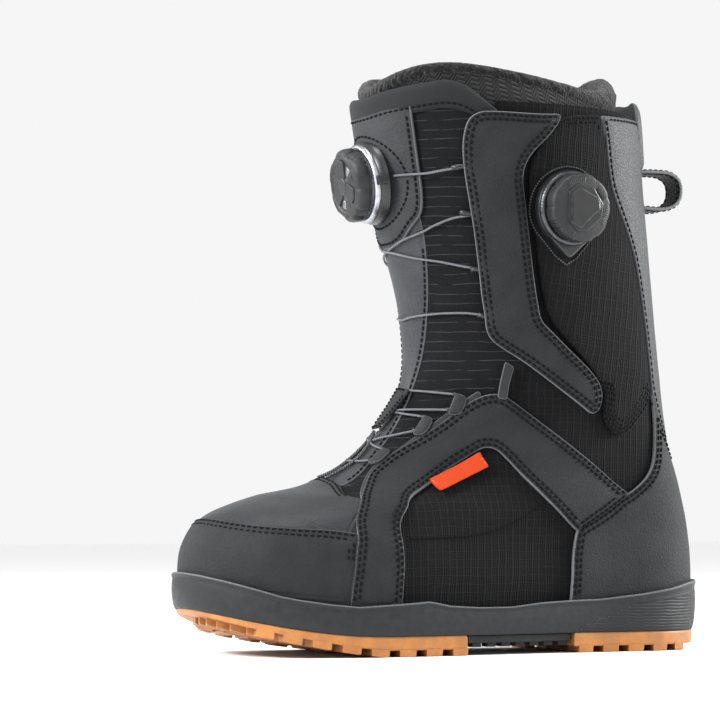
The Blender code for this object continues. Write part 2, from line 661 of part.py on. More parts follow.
def tube(name, path, look, sides=6, inner=0.0, outer=LACE_R):
    """Round cord or pipe along a path (mm)."""
    path = [Vector(p) for p in path]
    verts, faces = [], []
    radii = [outer] + ([inner] if inner else [])
    tangents = []
    for k in range(len(path)):
        a, b = path[max(k - 1, 0)], path[min(k + 1, len(path) - 1)]
        tangents.append((b - a).normalized())
    side_dir = tangents[0].orthogonal().normalized()
    frames = []
    for t in tangents:
        side_dir = (side_dir - t * side_dir.dot(t)).normalized()
        frames.append((side_dir.copy(), t.cross(side_dir)))
    for radius in radii:
        for p, (a, b) in zip(path, frames):
            for k in range(sides):
                w = 2 * math.pi * k / sides
                verts.append(np.array(p + (a * math.cos(w) + b * math.sin(w)) * radius))
    n, m = sides, len(path)

    def at(o, i, k):
        return (o * m + i) * n + k % n

    for o in range(len(radii)):
        for i in range(m - 1):
            for k in range(n):
                faces.append((at(o, i, k), at(o, i, k + 1), at(o, i + 1, k + 1), at(o, i + 1, k)))
    for i in (0, m - 1):
        if inner:
            for k in range(n):
                faces.append((at(0, i, k), at(0, i, k + 1), at(1, i, k + 1), at(1, i, k)))
        else:
            faces.append(tuple(at(0, i, k) for k in range(n)))
    return make(name, verts, faces, look)


def build_dial(prefix, frame, seat_top, radius):
    """Cable dial: housing, trim ring, spool, sliding axle and knob, stacked outward."""
    z = seat_top + 0.4
    inner = radius - 4.0
    turned(prefix + "_trim", ring_profile(radius - 1.2, radius + 1.8, z, z + 2.4), frame,
           LOOK_STEEL)
    turned(prefix + "_housing",
           [(3.0, z), (radius - 1.8, z), (radius - 1.8, z + 9.0), (inner + 0.6, z + 9.0),
            (inner + 0.6, z + 1.4), (3.0, z + 1.4)], frame, LOOK_PLASTIC)
    groove = inner - 3.0
    turned(prefix + "_spool",
           [(3.0, z + 1.9), (inner - 0.4, z + 1.9), (inner - 0.4, z + 3.0), (groove, z + 3.6),
            (groove, z + 5.6), (inner - 0.4, z + 6.2), (inner - 0.4, z + 7.3), (3.0, z + 7.3)],
           frame, LOOK_PLASTIC, 20)
    turned(prefix + "_axle",
           [(0, z + 0.2), (2.4, z + 0.2), (2.4, z + 9.9), (0, z + 9.9)], frame, LOOK_STEEL, 16)
    knob = turned(prefix + "_knob",
                  [(0, z + 10.3), (2.9, z + 10.3), (2.9, z + 7.9), (5.2, z + 7.9),
                   (5.2, z + 10.3), (radius - 1.2, z + 10.3), (radius - 1.2, z + 3.2),
                   (radius + 0.2, z + 3.2), (radius, z + 10.6), (radius - 1.6, z + 12.2),
                   (0, z + 12.6)], frame, LOOK_RUBBER, 32)
    return knob


def circle(radius, count=28):
    return [(radius * math.cos(2 * math.pi * k / count),
             radius * math.sin(2 * math.pi * k / count)) for k in range(count)]


FRONT_DIAL_V = 10.9
SIDE_DIAL_XZ = (-49.0, 243.0)
FRONT_R = 19.4
SIDE_R = 18.6


def build_dials():
    frame = local_frame(0.0, FRONT_DIAL_V) @ Matrix.Rotation(math.radians(-DIAL_LEVEL), 4, "X")
    draped("front_dial_seat", 0.0, FRONT_DIAL_V, frame, circle(FRONT_R + 3.0), 1.7, DIAL_SEAT,
           LOOK_PLASTIC)
    build_dial("front_dial", frame, DIAL_SEAT, FRONT_R)
    u, v = side(*SIDE_DIAL_XZ)
    frame = local_frame(u, v)
    drop = [(-9.5, -20.5), (0.0, -27.5), (9.5, -20.5)]
    outline = [p for p in circle(SIDE_R + 2.4, 30) if p[1] > -19.5]
    right = [p for p in outline if p[0] >= 0]
    left = [p for p in outline if p[0] < 0]
    right.sort(key=lambda p: p[1])
    left.sort(key=lambda p: -p[1])
    draped("side_dial_seat", u, v, frame, [drop[1], drop[2]] + right + left + [drop[0]], 3.3, 5.0,
           LOOK_PLASTIC)
    build_dial("side_dial", frame, 5.0, SIDE_R)


# ---------------------------------------------------------------- cords and guides

def on_skin(points, gap=CORD_GAP):
    """Smooth run over the shell through (u, v, offset) stations."""
    pts = np.array(points, float)
    out = []
    ext = np.concatenate([[2 * pts[0] - pts[1]], pts, [2 * pts[-1] - pts[-2]]])
    for i in range(len(pts) - 1):
        a, b, c, d = ext[i:i + 4]
        span = np.linalg.norm(last(b[0], b[1]) - last(c[0], c[1]))
        n = max(1, math.ceil(span / gap))
        for k in range(n):
            t = k / n
            out.append(0.5 * (2 * b + (c - a) * t + (2 * a - 5 * b + 4 * c - d) * t * t
                              + (3 * b - a - 3 * c + d) * t ** 3))
    out.append(pts[-1])
    out = np.array(out)
    return skin(out[:, 0], out[:, 1], out[:, 2])


def guide_arc(u0, va, vb, depth):
    """Half loop in (u, v) that turns the cord back under the wing band."""
    mid, half = (va + vb) / 2, (va - vb) / 2
    return [(u0 + depth * math.sin(w), mid + half * math.cos(w), LACE_LOW)
            for w in np.linspace(0, math.pi, 9)]


GUIDES = {"upper": (0.31, 11.1, 10.45, 0.07), "lower": (0.31, 9.66, 8.95, 0.07)}


def build_laces():
    upper = []
    for key in ("upper", "lower"):
        upper.append(guide_arc(*GUIDES[key]))
    for side_name, sign in (("lateral", 1), ("medial", -1)):
        for key, arc in zip(("upper", "lower"), upper):
            path = on_skin([(sign * u, v, o) for u, v, o in arc])
            tube("guide_%s_%s" % (key, side_name), path, LOOK_PLASTIC, 6, GUIDE_IN, GUIDE_OUT)
    a, b = upper
    run = [(0.2, 11.0, 3.2), (0.26, 11.07, 2.0)] + a
    run += [(0.25, 10.33, 1.9), (0.1, 10.0, LACE_HIGH), (0.0, 9.85, LACE_HIGH),
            (-0.1, 9.78, LACE_HIGH), (-0.25, 9.68, 1.9)]
    run += [(-u, v, o) for u, v, o in b]
    run += [(-0.25, 8.84, 1.9), (-0.1, 8.8, LACE_HIGH), (0.0, 8.8, LACE_HIGH)]
    back = [(-u, v, o + (1.8 if abs(u) < 0.12 and v > 9.5 else 0.0)) for u, v, o in run[:-1]]
    tube("lace_upper", on_skin(run + back[::-1]), LOOK_CORD)


def hook_arc(sign, u, v):
    """Turn of the cord inside a saddle guide, radius in millimetres."""
    along = np.linalg.norm(last(u + 0.01, v) - last(u, v)) / 0.01
    up = np.linalg.norm(last(u, v + 0.1) - last(u, v)) / 0.1
    return [(sign * (u + HOOK_R * math.cos(w) / along), v + HOOK_R * math.sin(w) / up, 4.1)
            for w in np.linspace(math.pi / 2, -math.pi / 2, 9)]


def build_lower_lace():
    pts = side_outline([(7, 136.5), (23, 124.5), (45, 107)])
    hook = [(u, v) for u, v in pts]
    for k, (u, v) in enumerate(hook):
        for name, s in (("lateral", 1), ("medial", -1)):
            path = on_skin(hook_arc(s, u, v)[1:-1])
            tube("saddle_guide_%d_%s" % (k + 1, name), path, LOOK_PLASTIC, 6, GUIDE_IN, GUIDE_OUT)
    one, two, three = hook
    run = hook_arc(1, *one)
    for sign, near, far in ((1, one, two), (-1, two, three)):
        leave, enter = hook_arc(sign, *near)[-1], hook_arc(-sign, *far)[0]
        for t, lift in ((0.33, 3.0), (0.5, 2.4), (0.67, 3.0)):
            run.append((leave[0] * (1 - t) + enter[0] * t, leave[1] * (1 - t) + enter[1] * t, lift))
        run += hook_arc(-sign, *far)
    low = run[-1][1]
    run += [(0.06, low, 2.8), (0.0, low, 2.6)]
    back = [(-u, v, o + (1.8 if abs(u) < 0.07 and v > low + 0.1 else 0.0)) for u, v, o in run[:-1]]
    tube("lace_lower", on_skin(run + back[::-1]), LOOK_CORD)


def build_trim():
    tab_axis = side(9.0, 97.0)
    c, s = math.cos(math.radians(TAB_ANGLE)), math.sin(math.radians(TAB_ANGLE))
    shape = [(x * c - y * s, x * s + y * c) for x, y in
             ((-17, -4.6), (-6, -4.6), (6, -4.6), (17, -4.6), (17, 4.6), (6, 4.6), (-6, 4.6),
              (-17, 4.6))]
    draped("side_tab", *tab_axis, local_frame(*tab_axis), shape, *TAB, LOOK_ORANGE, False)
    lobe = [(0.9, 11.5), (0.9, 12.0), (0.94, 12.12), (1.0, 12.08), (1.06, 12.12), (1.1, 12.0),
            (1.1, 11.5), (1.0, 11.45)]
    panel("achilles_pad", lobe, (2.8, 7.0), LOOK_LEATHER, (), 9.0)


def build_pull_loop():
    """Webbing loop standing off the back of the shaft."""
    width, thick = 17.0, 2.2
    loop = [(-121.4, 270.0), (-130, 271.5), (-140, 271.5), (-146.5, 268.0), (-148.5, 261.5),
            (-147, 255), (-141, 251), (-132, 250.0), (-123.0, 250.5)]
    pts = [Vector((x, 0, zz)) for x, zz in loop]
    verts, faces = [], []
    for k, p in enumerate(pts):
        a, b = pts[max(k - 1, 0)], pts[min(k + 1, len(pts) - 1)]
        t = (b - a).normalized()
        n = Vector((t.z, 0, -t.x))
        for off in (-thick / 2, thick / 2):
            for y in (-width / 2, width / 2):
                q = p + n * off
                verts.append(np.array((q.x, y, q.z)))
    for k in range(len(pts) - 1):
        i, j = 4 * k, 4 * k + 4
        for a, b in ((0, 1), (1, 3), (3, 2), (2, 0)):
            faces.append((i + a, i + b, j + b, j + a))
    faces += [(0, 1, 3, 2), tuple(4 * (len(pts) - 1) + k for k in (0, 1, 3, 2))]
    make("pull_loop", verts, faces, LOOK_LEATHER)


# ---------------------------------------------------------------- inner boot

def build_liner():
    us = np.linspace(-1, 1, 33)[:-1]
    one = np.ones(len(us))
    rows = [0.0, 0.9, 2.0, 3.1, 4.2, 5.0, 5.8, 6.6, 7.3, 8.0, 9.0, 10.4, 11.7]
    foot = low_row(us) + 0.12
    outer_rings = [skin(us, foot + r * (11.7 - foot) / 11.7, LINER[1] * one) for r in rows]
    hollow = [11.7, 10.0, 8.6, 7.7, 6.8, 5.8, 4.6, 3.2, 1.8, 0.9]
    inner_rings = [skin(us, r * one, LINER[0] * one) for r in hollow]
    bottom = skin(us, foot, -8.0 * one)
    bottom[:, 2] -= 1.2
    floor = skin(us, 0.9 * one, LINER[0] * one)
    floor[:, 2] = bottom[:, 2] + 5.5
    inner_rings[-1] = floor
    cup("liner_boot", [bottom] + outer_rings + inner_rings, LOOK_FLEECE)
    bed = skin(us, 0.9 * one, (LINER[0] - 3.0) * one)
    bed[:, 2] = floor[:, 2] + 0.8
    lid = bed.copy()
    lid[:, 2] += 3.0
    cup("footbed", [bed, lid], LOOK_FLEECE)
    roll = [(11.85, -10.0), (11.85, -5.2), (12.3, -5.0), (12.42, -2.0), (12.6, -3.0),
            (12.7, -7.0), (12.5, -11.0), (12.1, -12.0)]
    rings = [skin(us, r * one, o * one) for r, o in roll]
    torus("liner_collar", rings, LOOK_FLEECE)


def torus(name, rings, look):
    n, m = len(rings[0]), len(rings)
    verts = [np.array(p) for ring in rings for p in ring]
    faces = []
    for r in range(m):
        for k in range(n):
            a, b = r * n + k, r * n + (k + 1) % n
            c, d = ((r + 1) % m) * n + (k + 1) % n, ((r + 1) % m) * n + k
            faces.append((a, b, c, d))
    return make(name, verts, faces, look)


def main():
    clear_scene()
    build_sole()
    build_shell()
    build_tongue()
    build_wings()
    build_dials()
    build_laces()
    build_lower_lace()
    build_trim()
    build_pull_loop()
    build_liner()


main()
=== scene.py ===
"""Looks of the snowboard boot: modelled panels, seams, dials, laces, sole and liner
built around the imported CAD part.  Lengths are millimetres on the last unless noted."""
import bpy
import math
import numpy as np
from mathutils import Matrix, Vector
from mathutils.geometry import delaunay_2d_cdt


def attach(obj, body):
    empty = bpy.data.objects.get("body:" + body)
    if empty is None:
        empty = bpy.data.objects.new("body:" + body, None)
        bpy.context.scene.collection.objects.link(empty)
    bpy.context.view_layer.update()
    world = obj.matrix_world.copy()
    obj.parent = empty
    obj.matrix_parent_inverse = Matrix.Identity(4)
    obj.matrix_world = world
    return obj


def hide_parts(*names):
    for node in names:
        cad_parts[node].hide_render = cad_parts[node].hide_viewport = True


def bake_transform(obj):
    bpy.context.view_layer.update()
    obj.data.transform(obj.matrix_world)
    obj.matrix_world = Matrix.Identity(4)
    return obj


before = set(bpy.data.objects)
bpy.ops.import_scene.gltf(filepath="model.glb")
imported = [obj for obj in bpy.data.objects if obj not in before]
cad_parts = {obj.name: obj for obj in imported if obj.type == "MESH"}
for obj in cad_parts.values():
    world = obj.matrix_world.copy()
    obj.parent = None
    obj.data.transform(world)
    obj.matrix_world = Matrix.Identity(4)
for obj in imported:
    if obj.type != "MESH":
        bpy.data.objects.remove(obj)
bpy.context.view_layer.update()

MM = 0.001
ORIGIN = np.array((0.344, 5.177, 0.0))
STATIONS = [
    ((147.5, 26), (-147.5, 22), (84, 78, 60, 44, 43, 65, 74), 1.0),
    ((149.0, 44), (-148.5, 38), (86, 80, 61.5, 46, 44.5, 66, 75), 1.0),
    ((146.5, 60), (-148.3, 52), (81, 76, 60, 46, 44, 65, 73), 1.0),
    ((136.0, 74), (-147.3, 63), (72, 66, 55.5, 45.5, 44, 63, 71), 1.0),
    ((110.0, 84), (-145.6, 73), (57, 54, 52, 45, 44, 61, 69), 0.9),
    ((80.0, 91), (-143.2, 83), (46, 47, 47, 43, 43, 58, 66), 0.7),
    ((54.0, 105), (-140.3, 94), (43, 43, 42, 41, 42, 55, 62), 0.45),
    ((34.0, 127), (-136.5, 108), (42, 42, 42.5, 43, 43, 51, 57), 0.2),
    ((23.5, 155), (-131.5, 130), (43, 44, 45, 46, 46, 50, 55), 0.0),
    ((25.5, 190), (-127.0, 168), (45, 46, 47.5, 49, 49, 51, 54), 0.0),
    ((34.5, 225), (-123.0, 210), (48, 49, 50.5, 52, 51, 52, 53), 0.0),
    ((45.0, 262), (-119.0, 255), (51, 52, 54, 55, 54, 53, 53), 0.0),
    ((52.0, 298), (-115.5, 298), (53, 54, 56, 57, 56, 55, 54), 0.0),
    ((56.0, 334), (-112.5, 341), (54, 55, 57, 58, 57, 56, 55), 0.0),
]
SWING = np.array((-7, -6, -1, 3.5, 2, 0, 0), float)
FRONT = np.array([s[0] for s in STATIONS], float)
REAR = np.array([s[1] for s in STATIONS], float)
WIDTH = np.array([s[2] for s in STATIONS], float)
SWAY = np.array([s[3] for s in STATIONS], float)


# ---------------------------------------------------------------- the last

def cubic(rows, v):
    ext = np.concatenate([[2 * rows[0] - rows[1]], rows, [2 * rows[-1] - rows[-2]]])
    i = np.clip(np.floor(v).astype(int), 0, len(rows) - 2)
    t = (v - i).reshape(v.shape + (1,) * (rows.ndim - 1))
    a, b, c, d = ext[i], ext[i + 1], ext[i + 2], ext[i + 3]
    return 0.5 * (2 * b + (c - a) * t + (2 * a - 5 * b + 4 * c - d) * t * t
                  + (3 * b - a - 3 * c + d) * t ** 3)


def around(values, a):
    ext = np.concatenate([values[..., 1:2], values, values[..., -2:-1]], axis=-1)
    i = np.clip(np.floor(a).astype(int), 0, 5)
    t = a - i
    k = [np.take_along_axis(ext, (i + j)[..., None], -1)[..., 0] for j in range(4)]
    return 0.5 * (2 * k[1] + (k[2] - k[0]) * t
                  + (2 * k[0] - 5 * k[1] + 4 * k[2] - k[3]) * t * t
                  + (3 * k[1] - k[0] - 3 * k[2] + k[3]) * t ** 3)


def last(u, v):
    """Point of the last: u 0 front to 1 rear on the outer side, v row number."""
    u, v = np.broadcast_arrays(np.asarray(u, float), np.asarray(v, float))
    u = (u + 1) % 2 - 1
    a = np.abs(u)
    s = (1 + np.cos(math.pi * a)) / 2
    front, rear = cubic(FRONT, v), cubic(REAR, v)
    p = rear + (front - rear) * s[..., None]
    half = around(cubic(WIDTH, v), a * 6) * np.sin(math.pi * a)
    sway = around(np.broadcast_to(SWING, v.shape + (7,)), a * 6)
    y = np.sign(u) * half + sway * cubic(SWAY, v)
    return np.stack([p[..., 0], y, p[..., 1]], -1)


def normal(u, v):
    du = last(np.add(u, 1e-3), v) - last(np.subtract(u, 1e-3), v)
    dv = last(u, np.add(v, 1e-2)) - last(u, np.subtract(v, 1e-2))
    n = np.cross(du, dv)
    return n / np.linalg.norm(n, axis=-1, keepdims=True)


def skin(u, v, off):
    u, v, off = np.broadcast_arrays(*(np.asarray(a, float) for a in (u, v, off)))
    return last(u, v) + normal(u, v) * off[..., None]


GRID_U, GRID_V = np.meshgrid(np.linspace(0.02, 0.98, 49), np.linspace(0, 13, 79), indexing="ij")


def seek(target, axes, u, v, off=0.0):
    """Newton search for the (u, v) whose skin point matches the target along two axes."""
    for _ in range(14):
        p = skin(u, v, off) @ axes
        miss = target - p
        ju = (skin(u + 1e-4, v, off) @ axes - p) * 1e4
        jv = (skin(u, v + 1e-3, off) @ axes - p) * 1e3
        det = ju[:, 0] * jv[:, 1] - ju[:, 1] * jv[:, 0]
        u = u + np.clip((miss[:, 0] * jv[:, 1] - miss[:, 1] * jv[:, 0]) / det, -0.03, 0.03)
        v = v + np.clip((ju[:, 0] * miss[:, 1] - ju[:, 1] * miss[:, 0]) / det, -0.4, 0.4)
        v = np.clip(v, -0.5, 13.0)
    return u, v


def side(points, off=0.0):
    """Side-view positions (x, z) to (u, v) on the outer half."""
    pts = np.asarray(points, float).reshape(-1, 2)
    grid = skin(GRID_U, GRID_V, off)
    gap = (grid[None, ..., 0] - pts[:, 0, None, None]) ** 2
    gap = gap + (grid[None, ..., 2] - pts[:, 1, None, None]) ** 2
    k = gap.reshape(len(pts), -1).argmin(1)
    axes = np.array([[1.0, 0], [0, 0], [0, 1.0]])
    u, v = seek(pts, axes, GRID_U.ravel()[k], GRID_V.ravel()[k], off)
    return [(float(a), float(b)) for a, b in zip(u, v)]


# arc length tables give every panel flat millimetre coordinates
TAB_U, TAB_V = np.linspace(-1.3, 1.3, 261), np.linspace(0, 13, 131)
TAB_P = last(TAB_U[:, None], TAB_V[None, :])
LEN_V = np.concatenate([np.zeros((261, 1)),
                        np.cumsum(np.linalg.norm(np.diff(TAB_P, axis=1), axis=-1), axis=1)], 1)
LEN_U = np.concatenate([np.zeros((1, 131)),
                        np.cumsum(np.linalg.norm(np.diff(TAB_P, axis=0), axis=-1), axis=0)], 0)
LEN_U = LEN_U - LEN_U[130:131]


def flat(u, v, row=None):
    """Cloth coordinates in millimetres: across and up."""
    u = np.asarray(u, float)
    u = np.where(u > 1.3, u - 2, u)
    fu = (u + 1.3) * 100
    fv = np.asarray(v, float) * 10

    def read(table, a, b):
        i, j = np.clip(a.astype(int), 0, 259), np.clip(b.astype(int), 0, 129)
        s, t = a - i, b - j
        return (table[i, j] * (1 - s) * (1 - t) + table[i + 1, j] * s * (1 - t)
                + table[i, j + 1] * (1 - s) * t + table[i + 1, j + 1] * s * t)

    level = np.full(u.shape, float(np.mean(v)) if row is None else row) * 10
    return np.stack([read(LEN_U, fu, level), read(LEN_V, fu, fv)], -1)


# ---------------------------------------------------------------- meshes

def ripple(p, size, seed=0.0):
    """Smooth repeatable noise, about -1 to 1, from a few crossed waves."""
    q = np.asarray(p, float) / size
    out = np.zeros(len(q))
    for k in range(6):
        a = 1.7 * k + 0.9 + seed
        d = np.array([math.sin(a), math.cos(1.3 * a), math.sin(2.1 * a + 1)])
        out += np.sin(q @ d * (2.2 + 0.7 * k) + 2.4 * k + seed * 5) / (1 + 0.35 * k)
    return out / 3.2


def piece(name, verts, faces, mat, body, uv=None, attrs=None, nodes=(), smooth=True):
    """Mesh object in the row frame from millimetre points."""
    mesh = bpy.data.meshes.new(name)
    co = (np.asarray(verts, float) - ORIGIN) * MM
    mesh.from_pydata(co.tolist(), [], [tuple(int(i) for i in f) for f in faces])
    if smooth:
        mesh.polygons.foreach_set("use_smooth", [True] * len(mesh.polygons))
    if uv is not None:
        index = np.zeros(len(mesh.loops), np.int32)
        mesh.loops.foreach_get("vertex_index", index)
        layer = mesh.uv_layers.new(name="UVMap")
        layer.data.foreach_set("uv", np.asarray(uv, np.float32)[index].ravel())
    for key, values in (attrs or {}).items():
        mesh.attributes.new(key, "FLOAT", "POINT").data.foreach_set(
            "value", np.asarray(values, np.float32))
    mesh.update()
    ob = bpy.data.objects.new(name, mesh)
    bpy.context.scene.collection.objects.link(ob)
    ob.data.materials.append(mat)
    if isinstance(body, str):
        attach(ob, body)
    elif body:
        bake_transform(ob)
    if nodes:
        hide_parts(*nodes)
    return ob


SCALE = np.array([240.0, 25.0])


def fillet(points, corner=2.0, closed=True):
    """Round the outline: a smooth curve through gentle turns, small radii at corners."""
    p = np.asarray(points, float) * SCALE
    n = len(p)
    out = []
    for i in range(n):
        if not closed and i in (0, n - 1):
            out.append(p[i])
            continue
        b = p[i]
        e, f = p[i - 1] - b, p[(i + 1) % n] - b
        le, lf = np.linalg.norm(e), np.linalg.norm(f)
        turn = math.degrees(math.acos(np.clip(-(e @ f) / (le * lf), -1, 1)))
        ce, cf = (min(0.5 * le, corner), min(0.5 * lf, corner)) if turn > 48 else (le / 2, lf / 2)
        q0, q1 = b + e / le * ce, b + f / lf * cf
        for t in np.linspace(0, 1, 6):
            out.append((1 - t) ** 2 * q0 + 2 * t * (1 - t) * b + t * t * q1)
    return np.array(out) / SCALE


def travel(path):
    """Distance run along a path at each of its points."""
    return np.concatenate([[0], np.cumsum(np.linalg.norm(np.diff(path, axis=0), axis=1))])


def quads(rows, count, closed=True):
    """Faces between rows of count points; a closed row joins its last point to its first."""
    return [(i * count + k, i * count + (k + 1) % count,
             (i + 1) * count + (k + 1) % count, (i + 1) * count + k)
            for i in range(rows - 1) for k in range(count if closed else count - 1)]


def even(points, step, closed=True):
    """Same curve with points an even step (mm) apart."""
    p = np.asarray(points, float)
    if closed:
        p = np.concatenate([p, p[:1]])
    q = last(p[:, 0], p[:, 1])
    s = travel(q)
    keep = np.concatenate([[True], np.diff(s) > 1e-6])
    p, s = p[keep], s[keep]
    n = max(3, int(round(s[-1] / step)))
    t = np.linspace(0, s[-1], n + 1)
    if closed:
        t = t[:-1]
    return np.stack([np.interp(t, s, p[:, 0]), np.interp(t, s, p[:, 1])], -1)


def inside(poly, pts):
    x, y = pts[:, 0], pts[:, 1]
    hit = np.zeros(len(pts), bool)
    for a, b in zip(poly, np.roll(poly, -1, axis=0)):
        if a[1] == b[1]:
            continue
        cross = (a[1] > y) != (b[1] > y)
        hit ^= cross & (x < (b[0] - a[0]) * (y - a[1]) / (b[1] - a[1]) + a[0])
    return hit


def near(points, line):
    """Distance from each point to a closed polyline, and the run along it there."""
    a, b = line, np.roll(line, -1, axis=0)
    d = b - a
    size = np.maximum((d * d).sum(1), 1e-12)
    start = np.concatenate([[0], np.cumsum(np.sqrt(size))[:-1]])
    gap, run = np.zeros(len(points)), np.zeros(len(points))
    for k in range(0, len(points), 800):
        p = points[k:k + 800, None, :] - a[None]
        t = np.clip((p * d).sum(-1) / size, 0, 1)
        r = np.linalg.norm(p - t[..., None] * d, axis=-1)
        i = r.argmin(1)
        gap[k:k + 800] = r[np.arange(len(i)), i]
        run[k:k + 800] = start[i] + t[np.arange(len(i)), i] * np.sqrt(size[i])
    return gap, run


def inset(loop, dist, closed=True):
    """Curve moved towards its left side by dist millimetres over the last."""
    u, v = loop[:, 0], loop[:, 1]
    p = last(u, v)
    if closed:
        tan = np.roll(p, -1, axis=0) - np.roll(p, 1, axis=0)
    else:
        tan = np.gradient(p, axis=0)
    tan /= np.linalg.norm(tan, axis=1, keepdims=True)
    n = normal(u, v)
    w = np.cross(n, tan)
    pu = (last(u + 1e-3, v) - last(u - 1e-3, v)) * 500
    pv = (last(u, v + 1e-2) - last(u, v - 1e-2)) * 50
    a, b, c = (pu * pu).sum(1), (pu * pv).sum(1), (pv * pv).sum(1)
    f, g = (w * pu).sum(1), (w * pv).sum(1)
    det = a * c - b * b
    return loop + dist * np.stack([(f * c - g * b) / det, (g * a - f * b) / det], -1)


def turns_left(loop):
    p = loop * SCALE
    q = np.roll(p, -1, axis=0)
    return (p[:, 0] * q[:, 1] - p[:, 1] * q[:, 0]).sum() > 0


def outline_loop(points, corner, step=1.6):
    loop = even(fillet(points, corner), step)
    return loop if turns_left(loop) else loop[::-1]


def puffed(gap, hi, round_r, puff):
    t = np.clip(gap / round_r, 0, 1)
    return hi - round_r * (1 - np.sqrt(1 - (1 - t) ** 2)) + puff * (1 - np.exp(-gap / 6.0))


def panel(name, points, lo, hi, mat, body, nodes=(), corner=2.0, edge=0.9, puff=0.3,
          gap=2.4, wave=0.12, shape=None, back=True, tilt=None):
    """Sewn panel over the last with rounded raw edges."""
    loop = outline_loop(points, corner)
    line = last(loop[:, 0], loop[:, 1])
    metric = SCALE
    flat2 = loop * metric
    low, high = flat2.min(0), flat2.max(0)
    gx = np.arange(low[0], high[0] + gap, gap)
    gy = np.arange(low[1], high[1] + gap, gap * 0.87)
    xx, yy = np.meshgrid(gx, gy)
    xx = xx + (np.arange(len(gy)) % 2)[:, None] * gap / 2
    pts = np.stack([xx.ravel(), yy.ravel()], -1)
    pts = pts[inside(flat2, pts)]
    pos = last(pts[:, 0] / metric[0], pts[:, 1] / metric[1])
    dist, _ = near(pos, line)
    pts = pts[dist > edge + 0.8]
    for skip, d in enumerate((0.18 * edge, 0.55 * edge, edge + 0.1)):
        ring = inset(loop, d)[skip % 2:]
        r3 = last(ring[:, 0], ring[:, 1])
        ok = near(r3, line)[0] > 0.85 * d
        ok &= inside(flat2, ring * metric)
        pts = np.concatenate([pts, ring[ok] * metric])
    both = np.concatenate([flat2, pts])
    m = len(loop)
    got = delaunay_2d_cdt([Vector(p) for p in both], [(i, (i + 1) % m) for i in range(m)], [],
                          1, 1e-5)
    uv = np.array([tuple(p) for p in got[0]]) / metric
    tris = np.array([f for f in got[2]], int)
    u, v = uv[:, 0], uv[:, 1]
    pos = last(u, v)
    dist, run = near(pos, line)
    top = puffed(dist, hi, edge, puff) + wave * ripple(pos, 14.0) * np.clip(dist / 5, 0, 1)
    if shape:
        top = top + shape(u, v, pos, dist)
    n = normal(u, v)
    verts = pos + n * top[:, None]
    count = {}
    for t in tris:
        for a, b in ((t[0], t[1]), (t[1], t[2]), (t[2], t[0])):
            count[(int(a), int(b))] = 1
    rim = [e for e in count if (e[1], e[0]) not in count]
    k = len(verts)
    faces = [tuple(t) for t in tris]
    low_pts = pos + n * lo
    verts = np.concatenate([verts, low_pts])
    if back:
        faces += [(t[0] + k, t[2] + k, t[1] + k) for t in tris]
    faces += [(b, a, a + k, b + k) for a, b in rim]
    cloth = flat(u, v) if tilt is None else level(pos, tilt)
    # edge is the distance in from the outline, 0 over the side walls; the materials use it for the
    # seam bump and the painted edge highlight.
    return piece(name, verts, faces, mat, body, np.concatenate([cloth, cloth]),
                 {"edge": np.concatenate([dist, dist * 0]), "run": np.concatenate([run, run])},
                 nodes), loop


def level(p, tilt):
    """Cloth coordinates that hang level on the boot, turned by tilt degrees."""
    a = math.radians(tilt)
    x, z = p[:, 0], p[:, 2]
    return np.stack([x * math.cos(a) + z * math.sin(a), z * math.cos(a) - x * math.sin(a)], -1)


def mirror(points):
    return [(-u, v) for u, v in points]


BOTH = (("lateral", 1), ("medial", -1))


def flipped(points, sign):
    return points if sign > 0 else mirror(points)


# ---------------------------------------------------------------- thread and tubes

def frames(path):
    tan = np.gradient(path, axis=0)
    tan /= np.maximum(np.linalg.norm(tan, axis=1, keepdims=True), 1e-9)
    ref = np.array([0.31, 0.22, 0.92])
    out = []
    for t in tan:
        ref = ref - t * (ref @ t)
        ref = ref / np.linalg.norm(ref)
        out.append((ref, np.cross(t, ref)))
    return tan, out


def tube(name, path, radius, mat, body, sides=12, nodes=(), caps=True):
    """Round cord or pipe along a path."""
    path = np.asarray(path, float)
    _, sets = frames(path)
    radius = np.broadcast_to(np.asarray(radius, float), (len(path),))
    verts, uv = [], []
    run = travel(path)
    for p, (a, b), r, s in zip(path, sets, radius, run):
        for k in range(sides + 1):
            w = 2 * math.pi * k / sides
            verts.append(p + (a * math.cos(w) + b * math.sin(w)) * r)
            uv.append((s, k / sides))
    m, n = len(path), sides + 1
    faces = quads(m, n, closed=False)
    if caps:
        faces += [tuple(range(sides))[::-1], tuple((m - 1) * n + k for k in range(sides))]
    return piece(name, verts, faces, mat, body, uv, None, nodes)


def spline(points, step):
    """Even smooth path through three-dimensional points."""
    p = np.asarray(points, float)
    t = np.linspace(0, len(p) - 1, len(p) * 12)
    i = np.clip(np.floor(t).astype(int), 0, len(p) - 2)
    s = (t - i)[:, None]
    ext = np.concatenate([[2 * p[0] - p[1]], p, [2 * p[-1] - p[-2]]])
    a, b, c, d = ext[i], ext[i + 1], ext[i + 2], ext[i + 3]
    q = 0.5 * (2 * b + (c - a) * s + (2 * a - 5 * b + 4 * c - d) * s * s
               + (3 * b - a - 3 * c + d) * s ** 3)
    run = travel(q)
    n = max(2, int(run[-1] / step))
    w = np.linspace(0, run[-1], n + 1)
    return np.stack([np.interp(w, run, q[:, k]) for k in range(q.shape[1])], -1)


STITCH = {}
SEAMS = (1.7, 4.3)    # distances of a seam's two stitch rows from the panel's edge, mm


